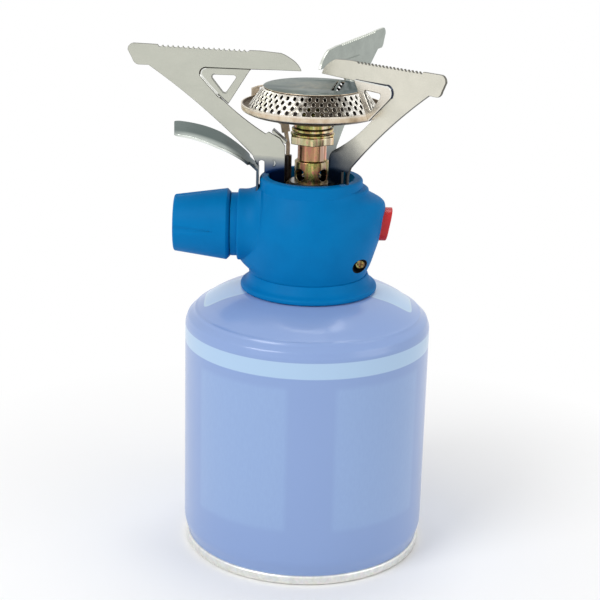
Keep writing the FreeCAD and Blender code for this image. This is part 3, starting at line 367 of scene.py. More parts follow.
def zincFinish():  # yellow chromate over zinc, pink and green where it thins
    values = zincPaint
    made = Finish("zincYellow", values["ground"], 0.24, 1.0)
    height, bearing = made.along("Z"), made.bearing()
    film = made.noise(3.0, 3, 0.55, where=made.stretch((1, 1, 0.35)), warp=0.7)
    other = made.noise(0.9, 4, 0.65, where=made.stretch((1, 1, 0.6), shift=(0.03, 0.01, 0.02)))
    lowDarkening = made.noise(2.2, 4, 0.65).over(0.48, 0.2)
    turning = made.noise(0.35, 2, where=made.stretch((0.05, 0.05, 1)))
    speck = made.noise(0.30, 3, 0.7).over(0.68, 0.05)
    reflectionBands = made.noise(2.6, 2, 0.5, where=made.stretch((1, 1, 0.05), shift=(0.011, 0.004, 0)))
    joints = highest([height.near(joint, 0.24, 0.24) for joint in values["joints"]])
    made.put("Base Color", made.coats(
        made.ramp(film * 0.68 + other * 0.32, values["tones"]),
        (height.within(*values["neck"], 0.3) * (0.35 + 0.5 * other), values["pink"]),
        # painted dark reflection down the left side, below the nut's top
        (bearing.under(values["shadedSideBearing"], 14) * height.under(values["nut"][1], 3) * 0.6, values["shadedSide"]),
        (height.within(*values["nut"], 0.3) * 0.35, values["cream"]),
        # a painted highlight down the tube at one bearing
        (bearing.near(values["highlightBearing"], 11, 6) * 0.5, values["bright"]),
        # a painted dark reflection line down the tube, below the nut
        (bearing.near(values["darkReflectionBearing"], 2.4, 2) * height.under(values["nut"][1] - 0.5, 1) * 0.85, values["darkReflectionLine"]),
        # darker towards the bottom, in blotches
        (height.under(values["foot"], 5) * (0.25 + 0.55 * lowDarkening), values["lowDarkening"]),
        # painted dark and light reflection bands running up the tube, then real specks
        ((reflectionBands + 0.12 * other).over(0.60, 0.12) * 0.55, values["bandShade"]),
        ((1 - reflectionBands).over(0.60, 0.10) * 0.45, values["pale"]), (speck * 0.6, values["speck"]),
        # painted shade inside the bore
        (made.radius().under(values["bore"], 0.1) * height.under(values["boreTop"], 0.1), values["hole"]),
        # painted shade in the joints between the stacked parts
        (joints * 0.85, values["jointShade"])))
    made.put("Roughness", 0.16 + 0.16 * film + 0.1 * turning + 0.2 * speck)
    return made.relief(turning + 0.6 * other - 0.6 * speck, 0.02)


# sheared edges take painted shade
supportPaint = {"colour": paint(201, 202, 190), "dark": paint(184, 186, 175), "rough": 0.16, "edgeShading": paint(58, 56, 52)}
# painted shade and painted reflection towards each support's foot: blue from the body on the left, dark navy on the
# right, grey on the rear
leftLegShade = {"height": 176.0, "soft": 8.0, "colour": paint(20, 54, 98), "lean": 0.0, "from": 12}
rightLegShade = {"height": 191.5, "soft": 25.0, "colour": paint(28, 42, 58), "lean": 0.55, "from": 12}
rearLegShade = {"height": 180.0, "soft": 14.0, "colour": paint(70, 74, 78), "lean": 0.2, "from": 12}
# the crescent's face is a painted highlight and its rim painted shade
crescentGlint = {"x": -16.9, "z": 176.7, "radius": 1.15, "bite": 0.8, "tall": 0.8, "hollow": 0.72, "raised": 6,
            "face": paint(236, 238, 232), "edge": paint(40, 44, 48)}


def sheetFinish(name, colour, dark, azimuth=0.0, rough=0.2, metallic=0.9, edgeShading=None, foot=None, mark=None):
    made = Finish(name, colour, rough, metallic)  # rolled sheet that stands at an azimuth
    height = made.along("Z")
    turn = (0, 0, -math.radians(azimuth))
    lines = made.noise(0.28, 4, 0.65, where=made.stretch((0.05, 1, 1), turn))
    cloud = made.noise(9, 4, 0.6, where=made.stretch((0.5, 1, 1), turn))
    stain = made.noise(0.9, 5, 0.75, where=made.stretch((0.35, 1, 1), turn), warp=0.4).over(0.72, 0.05)
    coats = [(cloud.over(0.52, 0.35) * 0.5, dark), ((lines - 0.5) * 0.5 + 0.1, dark), (stain * 0.3, dark)]
    rougher = rough - 0.05 + 0.08 * cloud + 0.06 * lines + 0.10 * stain
    relief = lines + 0.4 * cloud
    if foot:  # painted shade and a painted reflection of the body grow towards the foot, which is also smoother
        slant = (made.radius() - foot["from"]) * foot["lean"] + (cloud - 0.5) * foot["soft"] * 0.5
        rest = (height + slant).over(foot["height"], foot["soft"])
        share = 1 - rest * rest
        coats.append((share, foot["colour"]))
        rougher = rougher - 0.08 * share
    if mark:  # half-sheared crescent: raised in relief, with a painted highlight on its face and painted shade round its rim
        side, rise = made.along("X", mark["x"]), height - mark["z"]
        outer, inner = side.hypot(rise * mark["tall"]), (side + mark["bite"]).hypot(rise * mark["hollow"])
        raised = outer.under(mark["radius"], 0.25) * inner.over(mark["radius"], 0.25)
        coats += [(raised * 0.5, mark["face"]), (raised * (1 - raised) * 4 * 0.9, mark["edge"])]
        relief = relief + raised * mark["raised"]
    if edgeShading:  # sheared faces, which lie across the sheet, are rougher; their colour is painted shade on the left and right supports and a painted highlight on the rear one
        across = (-math.sin(math.radians(azimuth)), math.cos(math.radians(azimuth)), 0)
        normal = made.node("TexCoord", output="Normal")
        face = abs(made.node("VectorMath", {"operation": "DOT_PRODUCT"}, {0: normal, 1: across}, "Value"))
        sheared = face.under(0.92, 0.12)
        coats.append((sheared * 0.85, edgeShading))
        rougher = rougher + 0.12 * sheared
    made.put("Base Color", made.coats(colour, *coats))
    made.put("Roughness", rougher)
    return made.relief(relief, 0.006)


shieldPaint = {
    "ground": paint(84, 95, 92), "glare": paint(190, 195, 193), "rolled": paint(50, 58, 58),
    "tones": [(0.0, paint(126, 140, 137)), (0.35, paint(96, 110, 107)), (0.62, paint(86, 100, 98)),
              (0.86, paint(34, 42, 44)), (1.0, paint(76, 92, 108))],
    "reach": (-66.0, -24.0), "glintStreak": paint(250, 255, 248), "glintStreakFrom": -3.5, "glintStreakReach": (-59, -33),
    "lean": 0.10,
}


def shieldFinish():  # polished sheet, painted darker towards the burner as shade and reflection, bluish at the inner end, with a painted highlight streak
    values = shieldPaint
    made = Finish("shieldSteel", values["ground"], 0.14, 1.0, Specular_Tint=values["glare"])
    along = made.along("X")
    lines = made.noise(0.25, 4, 0.65, where=made.stretch((0.06, 1, 1)))
    cloud = made.noise(7, 4, 0.6, warp=0.4)
    outer, inner = values["reach"]
    # painted shade and reflection: the tone darkens from the outer end towards the burner
    share = (along - outer) * (1 / (inner - outer)) + (cloud - 0.5) * 0.35
    nearEdge = (made.along("Y") - values["lean"] * along).under(values["glintStreakFrom"], 6)
    made.put("Base Color", made.coats(
        made.ramp(share, values["tones"]),
        # a painted highlight streak along the near edge
        (nearEdge * along.within(*values["glintStreakReach"], 9) * (0.6 + 0.6 * cloud), values["glintStreak"]),
        ((lines - 0.5) * 0.4 + 0.08, values["rolled"])))
    made.put("Roughness", 0.09 + 0.10 * cloud + 0.05 * lines)
    return made.relief(lines + 0.4 * cloud, 0.005)


crownPaint = {
    "ground": paint(225, 222, 212), "heat": paint(70, 62, 52), "soot": paint(84, 72, 58),
    "tones": [(0.34, paint(186, 180, 168)), (0.45, paint(228, 224, 214)), (0.56, paint(240, 237, 229)),
              (0.66, paint(206, 200, 188))],
    "rim": paint(246, 244, 236), "rimShade": paint(176, 172, 158), "rimFrontReflection": paint(206, 198, 184),
    "heatMiddle": -82.0, "heatHalf": 23.0, "ragged": 60, "sootTop": 207,
}


def crownFrontReflection(made):  # a painted dark reflection on the front of the cone
    bearing = made.bearing() + (made.noise(2.6, 4, 0.65) - 0.5) * crownPaint["ragged"]
    return bearing.near(crownPaint["heatMiddle"], crownPaint["heatHalf"], 20)


def crownFinish():
    made = Finish("crownSteel", crownPaint["ground"], 0.22, 0.9)
    cloud = made.noise(5, 4, 0.6)
    drift = made.noise(11, 3, 0.6, where=made.stretch((1, 1, 1.6), shift=(0.2, 0.1, 0.4)))
    soot = made.noise(0.7, 4, 0.7).over(0.64, 0.1) * made.along("Z").under(crownPaint["sootTop"], 5)
    made.put("Base Color", made.coats(
        made.ramp(drift, crownPaint["tones"]), (crownFrontReflection(made) * 0.98, crownPaint["heat"]),
        (soot * 0.35, crownPaint["soot"])))
    made.put("Roughness", 0.16 + 0.2 * cloud + 0.15 * soot)
    return made.relief(cloud + 0.3 * made.noise(0.3, 2), 0.02)


def crownRimHighlightFinish():  # raised lips round the flame holes, coloured as a painted highlight
    made = Finish("crownRimHighlight", crownPaint["rim"], 0.16, 0.9)
    fine = made.noise(0.8, 4, 0.6)
    made.put("Base Color", made.coats(
        crownPaint["rim"], (fine.over(0.5, 0.3) * 0.35, crownPaint["rimShade"]),
        (crownFrontReflection(made) * 0.75, crownPaint["rimFrontReflection"])))
    made.put("Roughness", 0.12 + 0.16 * fine)
    return made.relief(fine, 0.01)


cupPaint = {
    "ground": paint(214, 198, 172), "under": paint(96, 80, 62), "lip": paint(240, 234, 222),
    "tones": [(0.34, paint(200, 176, 148)), (0.5, paint(222, 204, 178)), (0.64, paint(232, 220, 198))],
    "inside": paint(70, 58, 46), "brushed": paint(168, 148, 122), "spots": paint(120, 98, 78),
    "outside": 30.85, "underTop": 200.6, "lipLow": 202.95, "insideLow": 196.6,
}


def cupFinish():  # tan, heat-tinted sheet with a painted highlight on its lip, painted shade inside, and darker below
    values = cupPaint
    made = Finish("rimSteel", values["ground"], 0.34, 0.8)
    height, outer = made.along("Z"), made.radius().over(values["outside"], 0.2)
    cloud = made.noise(6, 4, 0.6)
    spots = made.noise(0.5, 4, 0.7)
    brushed = made.noise(0.5, 3, 0.6, where=made.stretch((0.2, 0.2, 1)))
    made.put("Base Color", made.coats(
        made.ramp(cloud, values["tones"]), (height.under(values["underTop"], 0.8) * 0.8, values["under"]),
        # a painted highlight on the lip
        (height.over(values["lipLow"], 0.3) * outer * 0.7, values["lip"]),
        # painted shade inside
        ((1 - outer) * height.over(values["insideLow"], 0.5) * 0.95, values["inside"]),
        ((brushed - 0.5) * 0.4 + 0.1, values["brushed"]), (spots.over(0.62, 0.08) * 0.35, values["spots"])))
    made.put("Roughness", 0.24 + 0.2 * cloud + 0.12 * spots)
    return made.relief(spots + cloud + brushed, 0.02)


capPaint = {
    "ground": paint(130, 138, 133), "glare": paint(216, 220, 219), "rightSideShade": paint(58, 80, 90),
    "tones": [(0.32, paint(92, 101, 100)), (0.48, paint(116, 125, 121)), (0.60, paint(136, 142, 135)),
              (0.72, paint(98, 106, 103))],
    "edge": paint(214, 194, 168), "warm": paint(178, 168, 150), "fleck": paint(176, 176, 168),
    "warmHalf": 9, "rightSideShadeFrom": 12.5, "edgeTop": 211.12,
}


def capFinish():
    values = capPaint
    made = Finish("capSteel", values["ground"], 0.3, 0.9, Specular_Tint=values["glare"])
    cloud = made.noise(6.5, 5, 0.65, warp=0.5)
    fine = made.noise(0.7, 4, 0.7)
    warm = made.radius().under(values["warmHalf"], 9) * made.noise(3.2, 4, 0.6, warp=0.6).over(0.5, 0.25)
    made.put("Base Color", made.coats(
        made.ramp(cloud, values["tones"]), (warm * 0.6, values["warm"]),
        # painted shade on the right side of the disc
        (made.along("X").over(values["rightSideShadeFrom"], 6.0) * 0.75, values["rightSideShade"]),
        (made.along("Z").under(values["edgeTop"], 0.1), values["edge"]),
        (fine.over(0.6, 0.15) * 0.2, values["fleck"])))
    made.put("Roughness", 0.18 + 0.22 * cloud + 0.1 * fine)
    return made.relief(cloud + 0.4 * fine, 0.025)


plainPaint = {  # colour, shade, roughness and how metallic
    # painted shade and painted highlight for the gusset flanks and the lip towards the leg
    "flankShadeNavy": ((34, 42, 58), (60, 68, 84), 0.25, 0.8),
    "flankHighlight": ((244, 245, 240), (214, 215, 208), 0.2, 0.8),
    "flankShade": ((40, 33, 28), (64, 56, 48), 0.3, 0.8),
    "lipShade": ((158, 159, 150), (128, 130, 124), 0.25, 0.9),
    "rearFlankShaded": ((160, 168, 160), (140, 147, 140), 0.2, 0.9),
    # painted shade inside the crown
    "insideShadeBlack": ((16, 14, 12), (30, 26, 22), 0.8, 0.0),
    # paler than the strip's own beige: painted light on a strip that stands in shade
    "stripSteelLit": ((250, 236, 216), (216, 194, 168), 0.4, 0.0),
    "springSteel": ((170, 170, 168), (120, 120, 118), 0.3, 1.0),
    "darkSteel": ((58, 54, 50), (34, 32, 30), 0.35, 0.9),
    "brass": ((205, 170, 110), (160, 124, 72), 0.3, 1.0),
    "darkRubber": ((34, 34, 36), (50, 50, 52), 0.72, 0.0),
    "greyPlastic": ((110, 110, 112), (96, 96, 98), 0.6, 0.0),
    "ceramic": ((48, 40, 38), (66, 54, 48), 0.25, 0.0),
    "leadSleeve": ((50, 50, 54), (64, 64, 68), 0.6, 0.0),
}


def plainFinish(name, colour, shade, rough, metallic):
    made = Finish(name, paint(*colour), rough, metallic)
    cloud = made.noise(4, 4, 0.6)
    fine = made.noise(0.4, 3, 0.6)
    made.put("Base Color", made.blend(cloud.over(0.5, 0.4) * 0.6 + 0.2 * fine, paint(*colour), paint(*shade)))
    made.put("Roughness", rough - 0.06 + 0.1 * cloud + 0.06 * fine)
    return made.relief(fine + 0.5 * cloud, 0.02)


mouldedBlue = (paint(0, 118, 183), paint(0, 110, 174))
supportPressed = {  # the gusset's lower flank (painted shade), upper flank (painted highlight), plate (a painted highlight on the right support), fold and the lip towards the leg (painted shade on the left support, a painted highlight on the right), all shaded copies on the rear support
    "leftSteel": ("flankShade", "flankHighlight", "leftSteel", "foldDarkReflection", "lipShade"),
    "rightSteel": ("flankShadeNavy", "flankHighlight", "gussetHighlight", "rightSteel", "gussetHighlight"),
    "rearSteel": ("rearFlankShaded", "rearFlankShaded", "rearSteel", "rearSteel", "rearSteel")}
finishes = {
    "cartridgeBlue": cartridgeFinish(),
    "tin": tinFinish(),
    "mouldedBlue": mouldedFinish("mouldedBlue", *mouldedBlue),
    "bodyBlue": mouldedFinish("bodyBlue", *mouldedBlue, hollow=screwRecess),
    "mouldedRed": mouldedFinish("mouldedRed", paint(205, 32, 38), paint(188, 24, 32), 0.34, 0.4),
    "zincYellow": zincFinish(),
    "leftSteel": sheetFinish("leftSteel", azimuth=178, mark=crescentGlint, foot=leftLegShade, **supportPaint),
    # the right support is a lit copy and the rear one a shaded copy of the same steel: painted light and painted
    # shade
    "rightSteel": sheetFinish("rightSteel", azimuth=-50, foot=rightLegShade,
                              **dict(supportPaint, colour=paint(226, 223, 209), dark=paint(206, 204, 191))),
    # the rear support's sheared edges take a painted highlight
    "rearSteel": sheetFinish("rearSteel", azimuth=66, foot=rearLegShade,
                             **dict(supportPaint, colour=paint(158, 166, 158), dark=paint(124, 131, 125),
                                    edgeShading=paint(206, 209, 200))),
    # a painted highlight on the right support's gusset plate
    "gussetHighlight": sheetFinish("gussetHighlight", paint(240, 234, 222), paint(216, 210, 196), -50, 0.18),
    # a painted dark reflection on the fold
    "foldDarkReflection": sheetFinish("foldDarkReflection", paint(44, 52, 58), paint(24, 28, 32), 120, 0.3, 0.2),
    "shieldSteel": shieldFinish(),
    "rimSteel": cupFinish(),
    "crownSteel": crownFinish(),
    "crownRimHighlight": crownRimHighlightFinish(),
    "capSteel": capFinish(),
}
for name, values in plainPaint.items():
    finishes[name] = plainFinish(name, *values)

nodeFinishes = {
    "cartridgeBlue": ["can_body"],
    "tin": ["can_base", "valve_cup"],
    "darkRubber": ["valve_gasket", "inlet_seal", "spindle_seal"],
    "greyPlastic": ["valve_housing", "piezo_unit"],
    "brass": ["valve_stem", "valve_block", "inlet_probe", "gland_nut", "spindle", "jet"],
    "mouldedBlue": ["base_flange", "body_floor", "control_knob"],
    "bodyBlue": ["body_housing"],
    "mouldedRed": ["piezo_button"],
    "zincYellow": ["floor_screws", "casing_screw", "mixing_tube", "lock_nut", "clamp_washers", "burner_boss",
                   "burner_nut"],
    "leftSteel": ["left_arm", "left_hub"],
    "rightSteel": ["right_arm", "right_hub"],
    "rearSteel": ["rear_arm", "rear_hub"],
    "shieldSteel": ["heat_shield"],
    "rimSteel": ["burner_cup"],
    "stripSteelLit": ["electrode"],
    "crownSteel": ["burner_crown"],
    "capSteel": ["burner_cap"],
    "springSteel": ["valve_spring", "locking_claws", "hub_clip"],
    "darkSteel": ["spring_washer"],
    "ceramic": ["insulator"],
    "leadSleeve": ["ignition_lead"],
}
for finish, nodes in nodeFinishes.items():
    for node in nodes:
        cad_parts[node].data.materials.clear()
        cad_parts[node].data.materials.append(finishes[finish].material)

print("pieces")

softenedFrom = 50  # degrees between two faces
joining = {"turned": 0.0000005, "copied": 0.00001, "flat": 0.5, "evenness": 80}  # metres, metres, degrees, weight


def picked(values, names):
    return [values[name] for name in names.split()]


def makePiece(name, shape, body, finish, nodes, sharp, even=False):
    mesh = bpy.data.meshes.new(name)
    shape.to_mesh(mesh)
    shape.free()
    for face in mesh.polygons:
        face.use_smooth = True
    mesh.set_sharp_from_angle(angle=math.radians(sharp))
    mesh.materials.append(finishes[finish].material)
    piece = bpy.data.objects.new(name, mesh)
    bpy.context.scene.collection.objects.link(piece)
    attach(piece, body)
    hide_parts(*nodes)
    if even:  # large flat faces keep their own shading beside rounded edges
        weight = piece.modifiers.new("evenShading", "WEIGHTED_NORMAL")
        weight.keep_sharp = True
        weight.weight = joining["evenness"]
    return piece


def lathe(section, steps=96, closed=True):  # radius, height, corner rounding, its segments
    shape = bmesh.new()
    corners = [shape.verts.new((point[0] * millimetre, 0, point[1] * millimetre)) for point in section]
    links = list(zip(corners, corners[1:])) + ([(corners[-1], corners[0])] if closed else [])
    for pair in links:
        shape.edges.new(pair)
    for corner, point in zip(corners, section):
        if len(point) > 2:
            bmesh.ops.bevel(shape, geom=[corner], offset=point[2] * millimetre, offset_type="OFFSET",
                            segments=point[3] if len(point) > 3 else 4, profile=0.5, affect="VERTICES", material=-1)
    bmesh.ops.spin(shape, geom=shape.verts[:] + shape.edges[:], cent=(0, 0, 0), axis=(0, 0, 1), dvec=(0, 0, 0),
                   angle=math.tau, steps=steps, use_merge=True)
    bmesh.ops.remove_doubles(shape, verts=shape.verts, dist=joining["turned"])
    bmesh.ops.recalc_face_normals(shape, faces=shape.faces)
    return shape


def mergedCopy(node):  # the node's own shape, its flat faces made whole
    shape = bmesh.new()
    shape.from_mesh(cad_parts[node].data)
    bmesh.ops.remove_doubles(shape, verts=shape.verts, dist=joining["copied"])
    bmesh.ops.dissolve_limit(shape, angle_limit=math.radians(joining["flat"]), verts=shape.verts, edges=shape.edges)
    return shape


def sharpEdges(shape):
    return [edge for edge in shape.edges
            if len(edge.link_faces) == 2 and edge.calc_face_angle() > math.radians(softenedFrom)]


def soften(shape, edges, width, segments=2):
    return bmesh.ops.bevel(shape, geom=edges, offset=width * millimetre, offset_type="OFFSET", segments=segments,
                           profile=0.5, affect="EDGES", clamp_overlap=False, material=-1)["faces"]


def turned(shape, degrees):  # about the upright axis
    matrix = Matrix.Rotation(math.radians(degrees), 3, "Z")
    bmesh.ops.rotate(shape, cent=(0, 0, 0), matrix=matrix, verts=shape.verts)


def drawn(shape, edges, start, levels):  # edges drawn out to one radius and height after another
    rows = []
    radius, height = start
    for nextRadius, nextHeight in levels:
        made = bmesh.ops.extrude_edge_only(shape, edges=edges)["geom"]
        verts = [item for item in made if isinstance(item, bmesh.types.BMVert)]
        edges = [item for item in made if isinstance(item, bmesh.types.BMEdge)]
        rows.append([item for item in made if isinstance(item, bmesh.types.BMFace)])
        bmesh.ops.scale(shape, vec=(nextRadius / radius, nextRadius / radius, 1), verts=verts)
        bmesh.ops.translate(shape, vec=(0, 0, (nextHeight - height) * millimetre), verts=verts)
        radius, height = nextRadius, nextHeight
    return rows


def makeSheet(piece, thickness):
    wall = piece.modifiers.new("sheet", "SOLIDIFY")
    wall.thickness = thickness * millimetre
    wall.offset = -1
    return wall


softened = {  # node: piece, body, finish, slot, edge rounding in millimetres
    "control_knob": ("controlKnob", "knob", "mouldedBlue", "blue_plastic", 0.25),
    "heat_shield": ("heatShield", "stove", "shieldSteel", "shield_steel", 0.18),
    "lock_nut": ("lockNut", "stove", "zincYellow", "zinc_yellow", 0.4),
    "burner_boss": ("burnerBoss", "stove", "zincYellow", "zinc_yellow", 0.2),
    "burner_nut": ("burnerNut", "stove", "zincYellow", "zinc_yellow", 0.2),
    "mixing_tube": ("mixingTube", "stove", "zincYellow", "zinc_yellow", 0.16),
    "casing_screw": ("casingScrew", "stove", "zincYellow", "zinc_yellow", 0.06),
    "piezo_button": ("igniterButton", "button", "mouldedRed", "red_plastic", 0.5),
    "left_hub": ("leftHub", "stove", "zincYellow", "zinc_yellow", 0.15),
    "right_hub": ("rightHub", "right_arm", "zincYellow", "zinc_yellow", 0.15),
    "rear_hub": ("rearHub", "rear_arm", "zincYellow", "zinc_yellow", 0.15),
    "insulator": ("ceramicTube", "stove", "ceramic", "ceramic_dark", 0.15),
    "electrode": ("sparkStrip", "stove", "stripSteelLit", "burner_steel", 0.12),
}
reshaped = {"lock_nut": (1.15, 1.15, 1.0), "burner_boss": (0.98, 0.98, 1.0)}  # how many times larger in X, Y, Z
shieldTip = {"from": -48.0, "to": -60.0, "lean": 0.09}


def reshape(node, shape):
    if node in reshaped:
        bmesh.ops.scale(shape, vec=reshaped[node], verts=shape.verts)
    if node == "heat_shield":  # its end is cut a little askew
        start, reach = shieldTip["from"] * millimetre, (shieldTip["to"] - shieldTip["from"]) * millimetre
        for vert in shape.verts:
            vert.co.x -= min(max((vert.co.x - start) / reach, 0), 1) * shieldTip["lean"] * vert.co.y


for node, (name, body, finish, slot, width) in softened.items():
    shape = mergedCopy(node)
    reshape(node, shape)
    soften(shape, sharpEdges(shape), width)
    makePiece(name, shape, body, finish, [node], softenedFrom, True)

print("supports")

support = {  # millimetres, along the sheet from the upright axis and up from the floor
    "half": 0.6, "press": 0.7, "close": 0.05,
    "bar": (217.5, 225.0), "slope": 0.0295, "level": 70.0,
    "window": ((33.0, 44.5), (206.8, 215.2)), "legSlope": 0.9, "legLine": 171.0, "windowHigh": 212.9,
    "widened": (1.25, 1.20), "legSide": Vector((0.8, 0, -0.6)), "legFrom": 1.2,
    "fold": (1.5, 24.0), "flank": 0.55, "foot": 0.1, "lip": 0.55, "edge": 0.22,
    "standing": 0.3, "facing": 0.9, "skyward": 0.1, "turnedAway": 0.92,  # parts of a face's direction
}
supports = {
    "left_arm": ("leftSupport", "stove", "leftSteel", 178.0),
    "right_arm": ("rightSupport", "right_arm", "rightSteel", -50.0),
    "rear_arm": ("rearSupport", "rear_arm", "rearSteel", 66.0),
}
half, press = (size * millimetre for size in picked(support, "half press"))
sheetCoat = {"lower": 1, "upper": 2, "plate": 3, "fold": 4, "leg": 5}  # as supportPressed has them


def isClose(first, second):
    return abs(first - second) < support["close"] * millimetre


def isFlank(face):  # the steps between the flat sheet and the pressed gusset, in front and behind
    depths = [vert.co.y for vert in face.verts]
    front = isClose(max(depths), half) and isClose(min(depths), half - press)
    rear = isClose(max(depths), -half) and isClose(min(depths), -half - press)
    return abs(face.normal.y) < support["standing"] and (front or rear)


def isPlate(face):  # the pressed gusset's own two faces
    return abs(face.normal.y) > support["facing"] and any(all(isClose(vert.co.y, level) for vert in face.verts)
                                                          for level in (half - press, -half - press))


def inWindow(vert):
    (near, far), (low, high) = support["window"]
    along, rise = vert.co.x / millimetre, vert.co.z / millimetre
    return near < along < far and low < rise < high and rise - support["legSlope"] * along > support["legLine"]


def lowerTeeth(shape):  # the toothed edge falls a little towards the burner
    low, high = support["bar"]
    for vert in shape.verts:
        share = min(max((vert.co.z / millimetre - low) / (high - low), 0), 1)
        vert.co.z += share * support["slope"] * (vert.co.x - support["level"] * millimetre)


def widenWindow(shape):  # gives the window's middle
    window = [vert for vert in shape.verts if inWindow(vert)]
    middle = Vector((sum(vert.co.x for vert in window) / len(window), 0, support["windowHigh"] * millimetre))
    wide, tall = support["widened"]
    bmesh.ops.scale(shape, vec=(wide, 1, tall), space=Matrix.Translation(-middle), verts=window)
    shape.normal_update()
    return middle


# painted shade on the flanks and a painted highlight on the lips beside them; the plate, the fold and the lip towards
# the leg take their colours from supportPressed
def paintGusset(shape, flanks, middle):
    plates = [face for face in shape.faces if isPlate(face)]
    for face in flanks:
        face.material_index = sheetCoat["lower"]
    for face in plates:
        face.material_index = sheetCoat["plate"]
    lips = bmesh.ops.inset_region(shape, faces=plates, thickness=support["lip"] * millimetre, depth=0,
                                  use_even_offset=True, use_boundary=True)["faces"]
    for face in lips:
        beside = any(flanks.intersection(edge.link_faces) for edge in face.edges)
        out = (face.calc_center_median() - middle).dot(support["legSide"])
        leg = out > support["legFrom"] * millimetre
        face.material_index = sheetCoat["upper" if beside else "leg" if leg else "plate"]
    reach, inside = support["fold"]
    for face in shape.faces:
        folded = max(abs(vert.co.y) for vert in face.verts) > reach * millimetre
        if folded and face.calc_center_median().x < inside * millimetre:
            face.material_index = sheetCoat["fold"]


def softenGusset(shape, flanks):  # the flanks are rolled, with a painted highlight on the faces turned up and painted shade on the rest
    steps = [edge for edge in sharpEdges(shape) if len(flanks.intersection(edge.link_faces)) == 1
             and isClose(edge.verts[0].co.y, edge.verts[1].co.y)]
    outer = [edge for edge in steps if isClose(abs(edge.verts[0].co.y), half)]
    inner = [edge for edge in steps if edge not in outer]
    for face in soften(shape, outer, support["flank"], 4):
        face.normal_update()
        bright = face.normal.z > support["skyward"] and 0 < face.normal.y < support["turnedAway"]
        face.material_index = sheetCoat["upper" if bright else "lower"]
    soften(shape, [edge for edge in inner if edge.is_valid], support["foot"])


def makeSupport(node, name, body, finish, azimuth):
    shape = mergedCopy(node)
    turned(shape, -azimuth)
    lowerTeeth(shape)
    middle = widenWindow(shape)
    flanks = {face for face in shape.faces if isFlank(face)}
    paintGusset(shape, flanks, middle)
    softenGusset(shape, flanks)
    soften(shape, sharpEdges(shape), support["edge"])
    turned(shape, azimuth)
    piece = makePiece(name, shape, body, finish, [node], 60, True)
    for extra in supportPressed[finish]:
        piece.data.materials.append(finishes[extra].material)


for node, values in supports.items():
    makeSupport(node, *values)

print("cartridge")

cartridge = {
    "opening": 13.0, "wall": 0.8, "steps": 128, "domeFrom": 100,
    "top": [(16.3, 121.6), (30.5, 120.8, 2.0), (41.8, 117.2, 6.0, 8)],
    "creases": [(49.6, 111.5, 0.5, 3), (50.7, 111.1, 0.45, 4), (51.3, 110.1, 0.5, 3), (53.2, 108.5, 0.4, 3),
                (53.9, 107.8, 0.45, 4), (54.3, 106.6, 0.5, 3)],
    "side": [(54.95, 104.8, 0.8, 4), (55.0, 100.0), (55.0, 10.0, 2.0, 4), (53.2, 5.0), (53.2, 2.6)],
    "inside": [(0, 7.0), (15.7, 7.0, 3.0, 4), (38.0, 5.5, 8.0, 6), (51.8, 1.6, 0.6, 3)],
    "curl": [(52.4, 4.2, 0.5, 4), (54.2, 4.2, 0.8, 5), (54.35, 2.2, 0.6, 3), (54.1, 0.0, 0.9, 5),
             (52.4, 0.0, 0.4, 3)],
    "under": [(51.4, 0.9, 0.5, 3), (38.0, 4.6, 8.0, 6), (15.7, 6.2, 3.0, 4), (0, 6.2)],
}


def makeCartridge():
    opening, wall, steps = picked(cartridge, "opening wall steps")
    outer = cartridge["top"] + cartridge["creases"] + cartridge["side"]
    inner = [(radius - wall, height - (wall if height > cartridge["domeFrom"] else 0))
             for radius, height, *_ in outer]
    high = outer[0][1]
    shape = lathe([(opening, high)] + outer + inner[::-1] + [(opening, high - wall)], steps)
    makePiece("cartridgeCan", shape, "cartridge", "cartridgeBlue", ["can_body"], 40)
    rim = lathe(cartridge["inside"] + cartridge["curl"] + cartridge["under"], steps, False)
    makePiece("cartridgeRim", rim, "cartridge", "tin", ["can_base"], 40)


makeCartridge()

print("base ring")

baseRing = {"low": 121.1, "high": 128.3, "radius": 30.4, "top": 26.2, "hole": 16.6, "wall": 2.0,
            "skirt": 2.0, "step": 2.6, "shoulder": 3.3}


def makeBaseRing():
    low, high, radius, top, hole, wall = picked(baseRing, "low high radius top hole wall")
    bend, shoulder = radius - baseRing["step"], low + baseRing["shoulder"]
    section = [(radius, low, 0.7), (radius, low + baseRing["skirt"], 0.7), (bend, shoulder, 1.2, 6),
               (top, high, 0.25, 3), (hole, high), (hole, high - wall), (top - wall, high - wall),
               (bend - wall, shoulder, 1.2, 6), (radius - wall, low, 0.3, 2)]
    makePiece("baseRing", lathe(section), "base_ring", "mouldedBlue", ["base_flange"], 40)


makeBaseRing()

print("burner")

cup = {"low": 195.8, "lip": 203.6, "radius": 31.3, "bore": 5.03, "sheet": 0.8, "floor": 12.0, "bead": 0.1,
       "outside": ((28.6, 3.8), 5.2), "inside": ((28.4, 4.6), 6.5), "steps": 112}  # heights above low


def makeCup():
    low, lip, radius, sheet, bore, floor, bead = picked(cup, "low lip radius sheet bore floor bead")
    inner = radius - sheet
    (outerBowl, outerRise), outerWall = cup["outside"]
    (innerBowl, innerRise), innerWall = cup["inside"]
    section = [(bore, low), (floor, low, 0.5), (outerBowl, low + outerRise, 0.9, 6),
               (radius, low + outerWall, 0.8, 6), (radius, lip - 0.35, 0.1), (radius + bead, lip, 0.12),
               (inner - bead, lip, 0.12), (inner, low + innerWall, 1.2, 5), (innerBowl, low + innerRise, 1.0, 5),
               (floor, low + sheet, 0.5), (bore, low + sheet)]
    makePiece("burnerCup", lathe(section, cup["steps"]), "stove", "rimSteel", ["burner_cup"], 40)


washers = {"bore": 5.03, "low": 190.0, "ledge": 190.95, "seat": 191.5, "lift": 191.9, "top": 193.4,
           "lower": 9.55, "step": (8.1, 7.8), "upper": 9.1, "crest": 8.0, "slant": 0.3}


